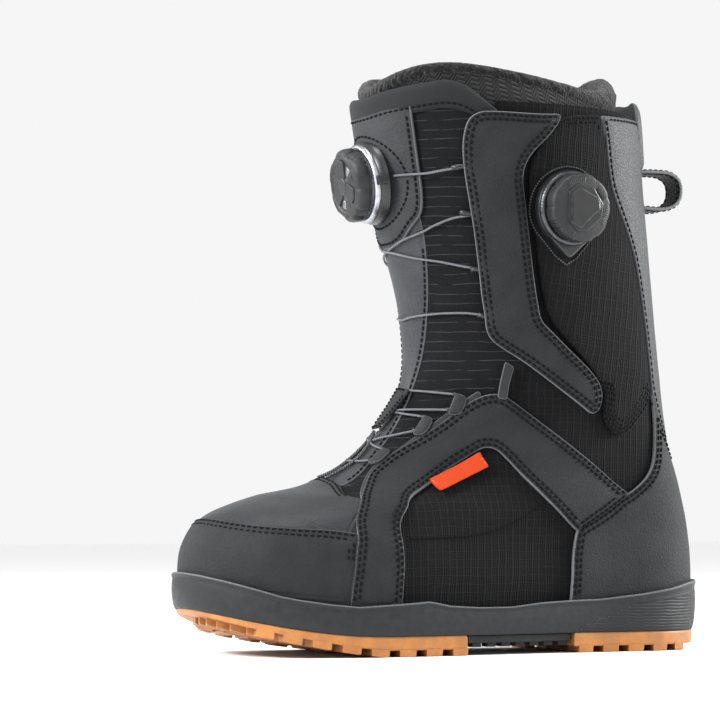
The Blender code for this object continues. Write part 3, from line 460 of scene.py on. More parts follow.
def stitch(path, up, body, mat_key="thread", length=2.5, pitch=3.5, width=0.62, thick=0.42):
    """Row of thread stitches along a path of points with surface normals."""
    path, up = np.asarray(path, float), np.asarray(up, float)
    if len(path) < 3:
        return
    run = travel(path)
    count = int(run[-1] / pitch)
    mids = (np.arange(count) + 0.5) * pitch
    ring = [(-0.5, 0.25), (-0.42, 0.75), (-0.2, 1.0), (0.2, 1.0), (0.42, 0.75), (0.5, 0.25)]
    key = (mat_key, body if isinstance(body, str) else tuple(map(str, body)))
    store = STITCH.setdefault(key, {"v": [], "f": [], "body": body, "mat": mat_key, "n": 0})
    for m in mids:
        at = np.array([np.interp(m, run, path[:, k]) for k in range(3)])
        a = np.array([np.interp(m - length / 2, run, path[:, k]) for k in range(3)])
        b = np.array([np.interp(m + length / 2, run, path[:, k]) for k in range(3)])
        n = np.array([np.interp(m, run, up[:, k]) for k in range(3)])
        tan = b - a
        size = np.linalg.norm(tan)
        if size < length * 0.6:
            continue
        tan = tan / size
        n = n - tan * (n @ tan)
        n = n / np.linalg.norm(n)
        s = np.cross(n, tan)
        base = store["n"]
        for x, r in ring:
            lift = thick * (0.35 - 1.2 * abs(x) ** 2)
            for k in range(6):
                w = 2 * math.pi * k / 6
                store["v"].append(at + tan * x * length + s * math.cos(w) * width * r
                                  + n * (math.sin(w) * thick * r + lift))
        for i in range(5):
            for k in range(6):
                store["f"].append((base + i * 6 + k, base + i * 6 + (k + 1) % 6,
                                   base + i * 6 + 6 + (k + 1) % 6, base + i * 6 + 6 + k))
        store["f"] += [tuple(base + k for k in range(6))[::-1],
                       tuple(base + 30 + k for k in range(6))]
        store["n"] += 36


def stitch_row(loop, dist, height, body, low=None, high=None, keep=None, **kw):
    """Stitches along a closed outline, dist in from its edge."""
    row = inset(loop, dist)
    line = last(loop[:, 0], loop[:, 1])
    p = last(row[:, 0], row[:, 1])
    ok = near(p, line)[0] > 0.9 * dist
    if low is not None:
        ok &= p[:, 2] > low
    if high is not None:
        ok &= p[:, 2] < high
    if keep is not None:
        ok &= keep(row[:, 0], row[:, 1], p)
    n = normal(row[:, 0], row[:, 1])
    p = p + n * height
    idx = np.arange(len(p))
    if ok.all():
        stitch(np.concatenate([p, p[:1]]), np.concatenate([n, n[:1]]), body, **kw)
        return
    first = int(np.argmin(ok))
    order = np.roll(idx, -first)
    group = []
    for i in list(order) + [first]:
        if ok[i]:
            group.append(i)
        elif group:
            stitch(p[group], n[group], body, **kw)
            group = []


def stitch_path(points, height, body, **kw):
    """Stitches along an open (u, v) curve."""
    row = even(fillet(points, closed=False), 1.5, closed=False)
    n = normal(row[:, 0], row[:, 1])
    stitch(last(row[:, 0], row[:, 1]) + n * height, n, body, **kw)


def flush_stitches():
    for k, (_, s) in enumerate(sorted(STITCH.items(), key=lambda kv: str(kv[0]))):
        uv = [(0.7 * p[0] + 0.4 * p[1], 0.8 * p[2]) for p in s["v"]]
        piece("stitching_%s_%d" % (s["mat"], k), s["v"], s["f"], MAT[s["mat"]], s["body"], uv)


# ---------------------------------------------------------------- materials

class Look:
    """Small helper that wires a procedural Principled material."""

    def __init__(self, name):
        self.mat = bpy.data.materials.new(name)
        self.mat.use_nodes = True
        self.tree = self.mat.node_tree
        self.shader = self.tree.nodes["Principled BSDF"]
        self.shader.inputs["IOR"].default_value = 1.46
        self.uv = self.node("ShaderNodeUVMap").outputs[0]

    def node(self, kind, props=None, **inputs):
        n = self.tree.nodes.new(kind)
        for key, value in (props or {}).items():
            setattr(n, key, value)
        for key, value in inputs.items():
            self.put(n.inputs[key.replace("_", " ")], value)
        return n

    def put(self, socket, value):
        if isinstance(value, bpy.types.NodeSocket):
            self.tree.links.new(value, socket)
        elif isinstance(value, (tuple, list)) and len(value) == 3 and socket.type == "RGBA":
            socket.default_value = (*value, 1)
        else:
            socket.default_value = value

    def math(self, op, a, b=0.0, c=0.0):
        n = self.tree.nodes.new("ShaderNodeMath")
        n.operation = op
        for k, value in enumerate((a, b, c)):
            self.put(n.inputs[k], value)
        return n.outputs[0]

    def add(self, *terms):
        out = terms[0]
        for t in terms[1:]:
            out = self.math("ADD", out, t)
        return out

    def mul(self, a, b):
        return self.math("MULTIPLY", a, b)

    def noise(self, scale, detail=3.0, rough=0.55, vector=None):
        return self.node("ShaderNodeTexNoise", Vector=vector or self.uv, Scale=scale,
                         Detail=detail, Roughness=rough).outputs[0]

    def cells(self, scale, vector=None, feature="F1"):
        return self.node("ShaderNodeTexVoronoi", {"feature": feature}, Vector=vector or self.uv,
                         Scale=scale).outputs[0]

    def span(self, value, a, b, c=0.0, d=1.0):
        n = self.tree.nodes.new("ShaderNodeMapRange")
        n.interpolation_type = "SMOOTHSTEP"
        for key, x in zip((0, 1, 2, 3, 4), (value, a, b, c, d)):
            self.put(n.inputs[key], x)
        return n.outputs[0]

    def mix(self, fac, a, b):
        n = self.tree.nodes.new("ShaderNodeMix")
        n.data_type = "RGBA"
        self.put(n.inputs[0], fac)
        self.put(n.inputs[6], a)
        self.put(n.inputs[7], b)
        return n.outputs[2]

    def xy(self, vector=None):
        n = self.node("ShaderNodeSeparateXYZ", Vector=vector or self.uv)
        return n.outputs[0], n.outputs[1]

    def wave(self, value, period, power=1.0):
        s = self.math("SINE", self.mul(value, math.pi / period))
        s = self.math("ABSOLUTE", s)
        return s if power == 1.0 else self.math("POWER", s, power)

    def ridge(self, value, period, width):
        """1 on thin lines a period apart, 0 between."""
        f = self.math("PINGPONG", value, period / 2)
        return self.span(f, 0.0, width, 1.0, 0.0)

    def bell(self, value, at, width):
        d = self.math("DIVIDE", self.math("SUBTRACT", value, at), width)
        return self.math("EXPONENT", self.mul(self.mul(d, d), -1.0))

    def attr(self, name):
        return self.node("ShaderNodeAttribute", {"attribute_name": name}).outputs[2]

    def place(self):
        """Object position in millimetres."""
        tex = self.node("ShaderNodeTexCoord").outputs[3]
        n = self.node("ShaderNodeVectorMath", {"operation": "SCALE"})
        self.put(n.inputs[0], tex)
        n.inputs["Scale"].default_value = 1000.0
        return n.outputs[0]

    def finish(self, color, rough, height=None, depth=1.0, sheen=0.0, metal=0.0, spec=0.5,
               coat=0.0):
        self.put(self.shader.inputs["Base Color"], color)
        self.put(self.shader.inputs["Roughness"], rough)
        self.shader.inputs["Metallic"].default_value = metal
        self.shader.inputs["Specular IOR Level"].default_value = spec
        self.shader.inputs["Sheen Weight"].default_value = sheen
        self.shader.inputs["Sheen Roughness"].default_value = 0.45
        self.shader.inputs["Coat Weight"].default_value = coat
        if height is not None:
            n = self.node("ShaderNodeBump", Height=height, Strength=1.0,
                          Distance=0.001 * depth)
            self.tree.links.new(n.outputs[0], self.shader.inputs["Normal"])
        return self.mat


def sewn(g, rows):
    """Bump of the stitched channels that follow a panel's edge."""
    edge, run = g.attr("edge"), g.attr("run")
    out = None
    for at in rows:
        dip = g.mul(g.bell(edge, at, 0.75), -0.28)
        pull = g.mul(g.mul(g.bell(edge, at, 1.6), g.wave(run, 3.5)), 0.10)
        both = g.add(dip, pull)
        out = both if out is None else g.add(out, both)
    return out


# Painted highlight: paints the pale colour in a thin ragged line along each panel's outline and
# over its side walls, standing in for the light caught by the rounded cut edge.
def raw_edge(g, color, amount=0.8, width=0.55, pale=(0.17, 0.175, 0.182)):
    edge = g.attr("edge")
    ragged = g.add(edge, g.mul(g.noise(1.1), 0.5))
    return g.mix(g.mul(g.span(ragged, 0.3, 0.3 + width, 1.0, 0.0), amount), color, pale)


def nubuck(name, base, rows=SEAMS, rough=0.66, grain=1.0, pale=0.7):
    g = Look(name)
    fine, mid, broad = g.noise(2.4, 4), g.noise(0.55, 4), g.noise(0.045, 3)
    tone = g.add(g.mul(fine, 0.6), g.mul(mid, 0.35), g.mul(broad, 0.4))
    dark, lit = tuple(c * 0.35 for c in base), tuple(c * 2.3 for c in base)
    color = g.mix(g.span(tone, 0.35, 0.9), dark, lit)
    # Painted highlight along the panel edges, at the strength given by pale.
    color = raw_edge(g, color, pale)
    pebble = g.cells(1.25, feature="SMOOTH_F1")
    height = g.add(g.mul(pebble, 0.26 * grain), g.mul(fine, 0.22 * grain),
                   g.mul(mid, 0.26 * grain))
    if rows:
        height = g.add(height, sewn(g, rows))
    return g.finish(color, g.span(mid, 0.3, 0.7, rough - 0.07, rough + 0.1), height, 1.0, 0.03,
                    spec=0.2)


def pebbled(name, base):
    g = Look(name)
    warp = g.noise(0.25, 2)
    cell = g.cells(1.25, feature="SMOOTH_F1")
    fine = g.noise(3.0, 3)
    color = g.mix(g.span(g.add(cell, g.mul(warp, 0.4)), 0.1, 0.9), tuple(c * 1.5 for c in base),
                  tuple(c * 0.6 for c in base))
    height = g.add(g.mul(cell, -0.24), g.mul(fine, 0.08), sewn(g, (1.7,)))
    # Painted highlight along the panel edges, at half strength.
    return g.finish(raw_edge(g, color, 0.5), g.span(cell, 0.0, 0.6, 0.46, 0.62), height,
                    spec=0.3)


def ripstop(name, base, slub=False):
    g = Look(name)
    x, y = g.xy()
    sway = g.noise(0.05, 2)
    x = g.add(x, g.mul(sway, 3.0))
    y = g.add(y, g.mul(g.noise(0.04, 2), 3.0))
    if slub:
        ribs = g.wave(y, 0.62)
        cross = g.wave(x, 0.55)
        stretch = g.node("ShaderNodeCombineXYZ", X=g.mul(x, 0.10), Y=g.mul(y, 0.35)).outputs[0]
        broken = g.span(g.noise(1.0, 2, vector=stretch), 0.40, 0.52)
        lines = g.mul(g.ridge(y, 5.2, 0.42), broken)
        grid = g.add(lines, g.mul(g.ridge(x, 4.6, 0.3), 0.18))
        pale = lines
    else:
        ribs = g.wave(x, 1.1)
        cross = g.wave(y, 0.62)
        grid = g.add(g.ridge(x, 4.4, 0.45), g.mul(g.ridge(y, 4.4, 0.40), 0.8))
        pale = g.mul(grid, 0.26)
    weave = g.add(g.mul(ribs, 0.55), g.mul(cross, 0.35))
    fuzz = g.noise(3.5, 3)
    tone = g.add(g.mul(weave, 0.75), g.mul(fuzz, 0.5), g.mul(g.noise(0.06, 3), 0.3))
    color = g.mix(g.span(tone, 0.35, 1.25), tuple(c * 0.35 for c in base),
                  tuple(c * 1.7 for c in base))
    color = g.mix(g.mul(pale, g.span(fuzz, 0.3, 0.6)), color, tuple(c * 7.0 for c in base))
    height = g.add(g.mul(weave, 0.30), g.mul(grid, 0.32), g.mul(fuzz, 0.08))
    return g.finish(color, 0.78, height, 1.3, 0.02, spec=0.07)


def rubber(name, base, rough=0.5, grain=1.0):
    g = Look(name)
    fine, mid, broad = g.noise(2.6, 4), g.noise(0.4, 3), g.noise(0.03, 3)
    color = g.mix(g.span(g.add(g.mul(mid, 0.5), g.mul(broad, 0.6)), 0.3, 0.8),
                  tuple(c * 0.72 for c in base), tuple(c * 1.35 for c in base))
    height = g.add(g.mul(fine, 0.09 * grain), g.mul(mid, 0.10 * grain))
    return g.finish(color, g.span(mid, 0.3, 0.7, rough - 0.08, rough + 0.1), height, spec=0.3)


def midsole_look():
    g = Look("midsole_rubber")
    y = g.xy()[1]
    fine, mid = g.noise(2.4, 4), g.noise(0.25, 4)
    base = (0.0125, 0.0135, 0.0145)
    color = g.mix(g.span(mid, 0.3, 0.75), tuple(c * 0.75 for c in base),
                  tuple(c * 1.3 for c in base))
    rim = g.attr("edge")
    color = g.mix(g.mul(g.span(rim, 0.0, 1.2, 1.0, 0.0), g.span(fine, 0.35, 0.6)), color,
                  (0.13, 0.135, 0.14))
    heel = g.attr("heel")
    rib = g.wave(g.add(y, g.mul(g.noise(0.08, 1), 1.5)), 1.7, 0.7)
    height = g.add(g.mul(fine, 0.09), g.mul(mid, 0.12), g.mul(g.mul(rib, heel), 0.4),
                   g.mul(g.bell(heel, 0.5, 0.18), 0.35))
    return g.finish(color, g.span(mid, 0.3, 0.7, 0.46, 0.62), height, spec=0.25)


def gum_look():
    g = Look("gum_rubber")
    p = g.place()
    fine, mid = g.noise(1.6, 4, vector=p), g.noise(0.12, 4, vector=p)
    base = (0.33, 0.125, 0.024)
    color = g.mix(g.span(mid, 0.3, 0.75), tuple(c * 0.82 for c in base),
                  tuple(min(1, c * 1.15) for c in base))
    color = g.mix(g.span(g.noise(0.5, 4, vector=p), 0.62, 0.75, 0.0, 0.35), color,
                  (0.2, 0.085, 0.02))
    mat = g.finish(color, g.span(fine, 0.3, 0.7, 0.42, 0.6), g.mul(fine, 0.12))
    g.shader.inputs["Subsurface Weight"].default_value = 0.12
    g.shader.inputs["Subsurface Radius"].default_value = (0.003, 0.0015, 0.0006)
    g.shader.inputs["Subsurface Scale"].default_value = 1.0
    return mat


def plastic(name, base, rough=0.38, bumpy=0.05, metal=0.0, brushed=False):
    g = Look(name)
    p = g.place()
    fine = g.noise(3.0, 4, vector=p)
    broad = g.noise(0.25, 3, vector=p)
    color = g.mix(g.span(broad, 0.3, 0.7), tuple(c * 0.8 for c in base),
                  tuple(min(1, c * 1.25) for c in base))
    height = g.mul(fine, bumpy)
    if brushed:
        x, y = g.xy()
        lines = g.noise(1.0, 2, vector=g.node("ShaderNodeCombineXYZ", X=g.mul(x, 0.15),
                                              Y=g.mul(y, 9.0)).outputs[0])
        height = g.add(height, g.mul(lines, 0.04))
        return g.finish(color, g.span(lines, 0.3, 0.7, rough - 0.08, rough + 0.12), height,
                        metal=metal)
    return g.finish(color, g.span(fine, 0.3, 0.7, rough - 0.06, rough + 0.1), height, metal=metal)


def cord_look(name, base, lay=1.6, count=3.0, depth=0.35, rough=0.5, spec=0.5):
    g = Look(name)
    x, y = g.xy()
    strand = g.wave(g.add(g.mul(x, 1.0 / lay), g.mul(y, count)), 1.0, 0.6)
    fuzz = g.noise(4.0, 2)
    color = g.mix(g.span(g.add(strand, g.mul(fuzz, 0.4)), 0.2, 1.2),
                  tuple(c * 0.35 for c in base), tuple(c * 1.5 for c in base))
    return g.finish(color, rough, g.mul(strand, depth), spec=spec)


def fleece_look(name, base):
    g = Look(name)
    p = g.place()
    curl = g.cells(0.55, vector=p)
    fine, mid = g.noise(2.6, 5, 0.7, p), g.noise(0.7, 4, 0.6, p)
    tone = g.add(g.mul(curl, 0.5), g.mul(fine, 0.6), g.mul(mid, 0.4))
    color = g.mix(g.span(tone, 0.4, 1.1), tuple(c * 0.3 for c in base),
                  tuple(c * 1.8 for c in base))
    height = g.add(g.mul(curl, 0.9), g.mul(fine, 0.7), g.mul(mid, 0.6))
    return g.finish(color, 0.9, height, 1.0, 0.2, spec=0.1)


def knit_look(name, base):
    """Chevron knit of the liner band."""
    g = Look(name)
    x, y = g.xy()
    fold = g.math("PINGPONG", x, 4.5)
    slant = g.add(y, g.mul(fold, 0.75))
    rib = g.wave(slant, 2.6, 0.7)
    loops = g.mul(g.wave(x, 0.9), g.wave(slant, 0.9))
    fuzz = g.noise(3.0, 3)
    tone = g.add(g.mul(rib, 0.6), g.mul(loops, 0.25), g.mul(fuzz, 0.4))
    color = g.mix(g.span(tone, 0.3, 1.1), tuple(c * 0.3 for c in base),
                  tuple(c * 1.9 for c in base))
    height = g.add(g.mul(rib, 0.9), g.mul(loops, 0.2), g.mul(fuzz, 0.12))
    return g.finish(color, 0.85, height, 1.0, 0.1, spec=0.1)


def webbing_look(name, base, across=0.9, along=1.3):
    g = Look(name)
    x, y = g.xy()
    a, b = g.wave(x, across), g.wave(y, along)
    weave = g.math("MAXIMUM", a, g.mul(b, 0.8))
    fuzz = g.noise(3.0, 3)
    color = g.mix(g.span(g.add(weave, g.mul(fuzz, 0.5)), 0.4, 1.4),
                  tuple(c * 0.4 for c in base), tuple(min(1, c * 1.5) for c in base))
    return g.finish(color, 0.7, g.add(g.mul(weave, 0.4), g.mul(fuzz, 0.1)), 1.0, 0.04, spec=0.15)


def label_look():
    g = Look("orange_label")
    x, y = g.xy()
    thread = g.wave(y, 0.45)
    cross = g.wave(x, 0.5)
    fuzz = g.noise(2.5, 3)
    color = g.mix(g.span(g.add(g.mul(thread, 0.6), g.mul(fuzz, 0.6)), 0.3, 1.1),
                  (0.36, 0.026, 0.004), (0.60, 0.062, 0.010))
    height = g.add(g.mul(thread, 0.14), g.mul(cross, 0.08), g.mul(fuzz, 0.05))
    return g.finish(color, 0.7, height, 1.0, 0.02, spec=0.15)


def floor_look():
    g = Look("studio_floor")
    p = g.place()
    tone = g.noise(0.01, 3, vector=p)
    color = g.mix(g.span(tone, 0.2, 0.8), (0.93, 0.93, 0.93), (0.95, 0.95, 0.95))
    return g.finish(color, 0.6, g.mul(g.noise(0.4, 3, vector=p), 0.05), spec=0.3)


LEATHER = (0.0068, 0.0073, 0.0080)
MAT = {
    "leather": nubuck("nubuck_leather", LEATHER),
    "patch": nubuck("nubuck_patch", (0.0144, 0.0155, 0.0169), (2.6,), 0.62, 0.8, 0.5),
    "vamp": nubuck("vamp_leather", (0.0099, 0.0108, 0.0122), SEAMS, 0.40, 0.45, 0.45),
    "spine": nubuck("spine_leather", (0.0153, 0.0165, 0.0184), (1.5,), 0.46, 0.25, 0.5),
    "strip": nubuck("strip_leather", (0.0096, 0.0101, 0.011), (), 0.55, 0.5, 0.45),
    "back": pebbled("pebbled_leather", (0.0203, 0.0216, 0.0234)),
    "rip": ripstop("ripstop_grid", (0.0044, 0.0045, 0.0049)),
    "slub": ripstop("ripstop_slub", (0.007, 0.0073, 0.0078), True),
    "midsole": midsole_look(),
    "arch": rubber("arch_rubber", (0.008, 0.008, 0.0085), 0.55, 1.4),
    "gum": gum_look(),
    "knob": rubber("knob_rubber", (0.015, 0.0155, 0.0165), 0.5, 0.8),
    "plate": plastic("knob_plate", (0.0115, 0.012, 0.013), 0.36, 0.05),
    "housing": plastic("dark_plastic", (0.007, 0.0073, 0.008), 0.34, 0.05),
    "metal": plastic("dial_metal", (0.30, 0.31, 0.33), 0.30, 0.03, 1.0, True),
    "dark_metal": plastic("dial_dark_metal", (0.063, 0.065, 0.07), 0.34, 0.03, 1.0, True),
    "cord": cord_look("lace_cord", (0.071, 0.075, 0.083)),
    "braid": cord_look("braided_cord", (0.03, 0.031, 0.034), 1.2, 4.0, 0.5),
    "fleece": fleece_look("black_fleece", (0.006, 0.006, 0.0063)),
    "knit": knit_look("chevron_knit", (0.0084, 0.0086, 0.009)),
    "lining": webbing_look("lining_cloth", (0.006, 0.006, 0.0065), 0.7, 0.7),
    "webbing": webbing_look("webbing", (0.016, 0.0164, 0.0176)),
    "binding": webbing_look("binding_tape", (0.0126, 0.013, 0.0139), 0.5, 0.7),
    "piping": webbing_look("piping_tape", (0.054, 0.056, 0.06), 0.5, 0.5),
    "label": label_look(),
    "thread": cord_look("thread_black", (0.005, 0.005, 0.0055), 0.8, 2.0, 0.2, 0.95, 0.08),
    "thread_grey": cord_look("thread_grey", (0.0315, 0.032, 0.0335), 0.8, 2.0, 0.2),
    "thread_orange": cord_look("thread_orange", (0.5, 0.06, 0.01), 0.8, 2.0, 0.2),
    "floor": floor_look(),
}


# ---------------------------------------------------------------- sole unit

TOE_LIFT = ((60, 0), (81, 2.6), (111, 8.0), (130, 12.6), (142, 16.5), (160, 24.0))


def ground(x):
    return np.interp(x, [p[0] for p in TOE_LIFT], [p[1] for p in TOE_LIFT])


def tread_top(x):
    return 10.5 + np.maximum(0.0, x - 55.0) ** 2 / 640.0


def low_row(u):
    return np.interp(np.abs(u), [0, 0.12, 0.22, 0.3, 1], [0.42, 0.3, 0.12, 0.03, 0.03])


RIM_X = (-160, -133, -120, -100, -75, -55, -35, -16, 4, 22, 35, 49, 75, 90, 106, 115, 132, 142,
         146, 149, 160)
RIM_Z = (40, 38, 35, 32, 29.5, 29, 28, 26, 26, 27, 29.5, 28.5, 27, 28.5, 31, 33, 39, 42.5,
         44, 45, 46)


def plan(inset_mm, count=400):
    """Sole plan at a wall offset: closed loop of x, y."""
    u = np.linspace(-1, 1, count, endpoint=False)
    p = skin(u, np.full(count, 0.3), inset_mm)
    return u, p


def build_sole():
    u = np.linspace(-1, 1, 421)[:-1]
    row = low_row(u)
    rim_v = np.zeros(len(u))
    probe = np.linspace(0.0, 1.6, 60)
    for i, a in enumerate(u):
        p = last(np.full(60, a), probe)
        want = np.interp(p[:, 0], RIM_X, RIM_Z)
        rim_v[i] = np.interp(0.0, p[:, 2] - want, probe)
    profile = [(0.0, 2.4), (0.0, 3.8), (0.05, 4.5), (0.14, 5.0), (0.3, 5.35), (0.45, 5.45),
               (0.6, 5.35), (0.72, 5.15), (0.8, 4.95), (0.86, 4.75), (0.9, 5.0), (0.94, 5.35),
               (0.975, 5.3), (1.0, 4.9), (1.02, 4.2), (1.01, 3.3), (0.97, 2.4), (0.94, 0.6),
               (0.9, -2.2)]
    verts, uv, edge, heel = [], [], [], []
    base = skin(u, row, 3.0)
    z0 = tread_top(base[:, 0]) + 0.4
    rim3 = last(u, rim_v)
    zr = np.interp(rim3[:, 0], RIM_X, RIM_Z)
    run = flat(u, np.full(len(u), 0.4))[:, 0]
    for t, off in profile:
        p = skin(u, row + (rim_v - row) * t, off)
        p[:, 2] = z0 + (zr - z0) * min(t, 1.0) - (0.5 if t > 1.0 else 0.0)
        verts.append(p)
        uv.append(np.stack([run, p[:, 2]], -1))
        edge.append(np.full(len(u), 9.0 if t < 0.86 else abs(t - 0.985) * 22))
        curve = -62 - 40 * np.clip((p[:, 2] - 14) / 16, 0, 1) ** 0.8
        heel.append(np.clip((curve - p[:, 0]) / 2.0 + 0.5, 0, 1) * (1 if t < 0.8 else 0))
    m, n = len(profile), len(u)
    faces = quads(m, n)
    verts = np.concatenate(verts)
    centre = len(verts)
    verts = np.concatenate([verts, [[0, 0, 14.0]]])
    uv = np.concatenate(uv + [np.zeros((1, 2))])
    faces += [(centre, (k + 1) % n, k) for k in range(n)]
    piece("midsole_wall", verts, faces, MAT["midsole"], "shell", uv,
          {"edge": np.concatenate(edge + [np.full(1, 9.0)]),
           "heel": np.concatenate(heel + [np.zeros(1)])},
          ("midsole", "lasting_board"))
    tread()


def block(verts, faces, bottom, top):
    """Closed block between two loops of the same length, with softened lower rim."""
    n = len(bottom)
    b, t = np.asarray(bottom, float), np.asarray(top, float)
    c = b.mean(axis=0)
    rings = [t, t + (b - t) * 0.82, c + (b - c) * 0.985 + (t - b) * 0.06, c + (b - c) * 0.93]
    start = len(verts)
    for r in rings:
        verts.extend(r)
    for i in range(3):
        for k in range(n):
            a, d = start + i * n + k, start + i * n + (k + 1) % n
            faces.append((a, d, d + n, a + n))
    faces.append(tuple(start + 3 * n + k for k in range(n)))
    faces.append(tuple(start + k for k in range(n))[::-1])


def edge_at(table, x, sign):
    u, p = table
    half = (u > 0) if sign > 0 else (u < 0)
    q = p[half]
    order = np.argsort(q[:, 0])
    return float(np.interp(x, q[order, 0], q[order, 1]))


def slab(name, x0, x1, inset_mm, low, high, mat, nodes):
    """Outsole layer between two heights with a rounded plan edge."""
    p = plan(inset_mm, 500)[1]
    keep = (p[:, 0] > x0) & (p[:, 0] < x1)
    q = p[keep]
    ang = np.arctan2(q[:, 1], q[:, 0] - (max(x0, -140) + min(x1, 140)) / 2)
    q = q[np.argsort(ang)]
    rings = []
    for f, off in ((0.0, 0.985), (0.12, 1.0), (0.85, 1.0), (1.0, 0.99)):
        r = q.copy()
        c = q.mean(axis=0)
        r[:, :2] = c[:2] + (q[:, :2] - c[:2]) * off
        r[:, 2] = low(r[:, 0]) * (1 - f) + high(r[:, 0]) * f
        rings.append(r)
    n = len(q)
    verts = np.concatenate(rings)
    faces = quads(4, n)
    for ring, flip in ((0, True), (3, False)):
        loop = range(ring * n, (ring + 1) * n)
        faces.append(tuple(reversed(loop) if flip else loop))
    uv = np.stack([verts[:, 0], verts[:, 2]], -1)
    return piece(name, verts, faces, mat, "shell", uv, None, nodes, smooth=False)


def tread():
    table = plan(3.4)
    front = lambda x: ground(x) + 3.6
    slab("outsole_forefoot_base", 10, 200, 3.5, front, lambda x: tread_top(x) + 0.5, MAT["gum"],
         ("outsole_forefoot",))
    slab("outsole_heel_base", -200, -58, 3.5, lambda x: 0 * x + 3.6, lambda x: tread_top(x) + 0.5,
         MAT["gum"], ("outsole_heel",))
    slab("outsole_arch_base", -57.5, 9.5, 1.5, lambda x: 0 * x + 6.6, lambda x: tread_top(x) + 0.5,
         MAT["arch"], ("outsole_arch",))
    verts, faces = [], []
    spots = [(15, 9.5), (31, 10), (47, 10), (63, 10.5), (79, 10.5), (95, 10), (110, 9.5), (123, 8)]
    spots += [(-66, 9.5), (-82, 10), (-98, 10), (-114, 10), (-129, 8.5)]
    for x, size in spots:
        for sign in (1, -1):
            h = size / 2
            out = [edge_at(table, a, sign) for a in (x - h, x, x + h)]
            deep = 15 if abs(x) < 105 else 11
            pts = [(x - h, out[0]), (x, out[1]), (x + h, out[2]),
                   (x + h * 0.7, out[2] - sign * deep), (x - h * 0.4, out[0] - sign * (deep + 2))]
            top = [(a, b, float(ground(a)) + 4.2) for a, b in pts]
            bottom = [(a + 0.3 * (x - a) / h, b - sign * 0.5, float(ground(a))) for a, b in pts]
            block(verts, faces, bottom, top)
    for x in (20, 38, 56, 74, 92, 108, 122, -70, -88, -106, -122):
        lo, hi = edge_at(table, x, -1) + 19, edge_at(table, x, 1) - 19
        if hi - lo < 8:
            continue
        mid = (lo + hi) / 2
        for a, b in ((lo, mid - 1.5), (mid + 1.5, hi)):
            lean = 5.0 if b <= mid else -5.0
            pts = [(x - 4 - lean / 2, a), (x + 4 - lean / 2, a), (x + 4 + lean / 2, b),
                   (x - 4 + lean / 2, b)]
            top = [(c, d, float(ground(c)) + 4.2) for c, d in pts]
            bottom = [(c, d, float(ground(c)) + 0.15) for c, d in pts]
            block(verts, faces, bottom, top)
    for k in range(-4, 5):
        y0 = -5 + k * 8.5
        x1 = 142 - 0.012 * (y0 + 5) ** 2
        pts = [(x1 - 11, y0 - 2.6), (x1, y0 - 3.4), (x1 + 1, y0 + 1.0), (x1 - 9, y0 + 2.2)]
        top = [(c, d, float(ground(c)) + 4.2) for c, d in pts]
        bottom = [(c, d, float(ground(c)) + 0.3) for c, d in pts]
        block(verts, faces, bottom, top)
    piece("outsole_lugs", verts, faces, MAT["gum"], "shell", None, None, (), False)
    bevel(bpy.data.objects["outsole_lugs"], 0.5)
    verts, faces = [], []
    for k in range(7):
        x = -52 + k * 9.2
        for sign in (1, -1):
            y = edge_at(plan(1.2), x, sign) - sign * 5
            pts = [(x - 2.6, y - 3.5), (x + 2.6, y - 3.5), (x + 2.6, y + 3.5), (x - 2.6, y + 3.5)]
            block(verts, faces, [(c, d, 4.4) for c, d in pts], [(c, d, 7.2) for c, d in pts])
    piece("arch_lugs", verts, faces, MAT["arch"], "shell", None, None, (), False)


def bevel(ob, width, segments=2, angle=35):
    mod = ob.modifiers.new("soft_edges", "BEVEL")
    mod.width = width * MM
    mod.segments = segments
    mod.limit_method = "ANGLE"
    mod.angle_limit = math.radians(angle)
    return ob


# ---------------------------------------------------------------- shell

def ring_surface(name, us, rows, mat, body, nodes=(), closed=True,
                 straight=False):
    """Fabric surface through rows of (v, offset) arrays."""
    n = len(us)
    verts, uv = [], []
    for v, o in rows:
        v = np.broadcast_to(np.asarray(v, float), us.shape)
        verts.append(skin(us, v, o))
        uv.append(level(verts[-1], 0) if straight else flat(us, v, 6.0))
    faces = quads(len(rows), n, closed)
    return piece(name, np.concatenate(verts), faces, mat, body, np.concatenate(uv), None, nodes)


SADDLE_OUT = [(79.5, 24), (78.5, 36), (76, 51), (72, 67), (65, 82), (56, 93), (52, 98), (43, 105),
              (35, 111), (19, 121), (4, 134), (-5, 140), (-14, 142), (-21, 139), (-37, 127),
              (-55, 115), (-76, 102), (-96, 87)]
SADDLE_IN = [(-62, 66), (-48, 78), (-36, 89), (-23, 102), (-15, 110), (-11, 112), (-6, 112),
             (1, 108), (13, 101), (25, 93), (36, 87), (41, 83), (44, 77), (47, 57), (49, 36),
             (50, 24)]
COUNTER_EDGE = [(-57, 24), (-58, 45), (-60, 62), (-61, 67), (-64, 70), (-75, 75), (-89, 84),
                (-95, 87), (-103, 92), (-110, 98), (-114, 105), (-116, 117), (-117, 129),
                (-116, 139)]
GORE_REAR = [(-114, 143), (-112, 157), (-110, 173), (-106, 195), (-101, 217), (-93, 234),
             (-84, 249), (-79, 260), (-76, 285), (-73, 296)]
EYESTAY = [(0.269, 4.08), (0.157, 5.43), (0.132, 5.84), (0.145, 6.22), (0.179, 6.81),
           (0.248, 7.5), (0.288, 7.78)]


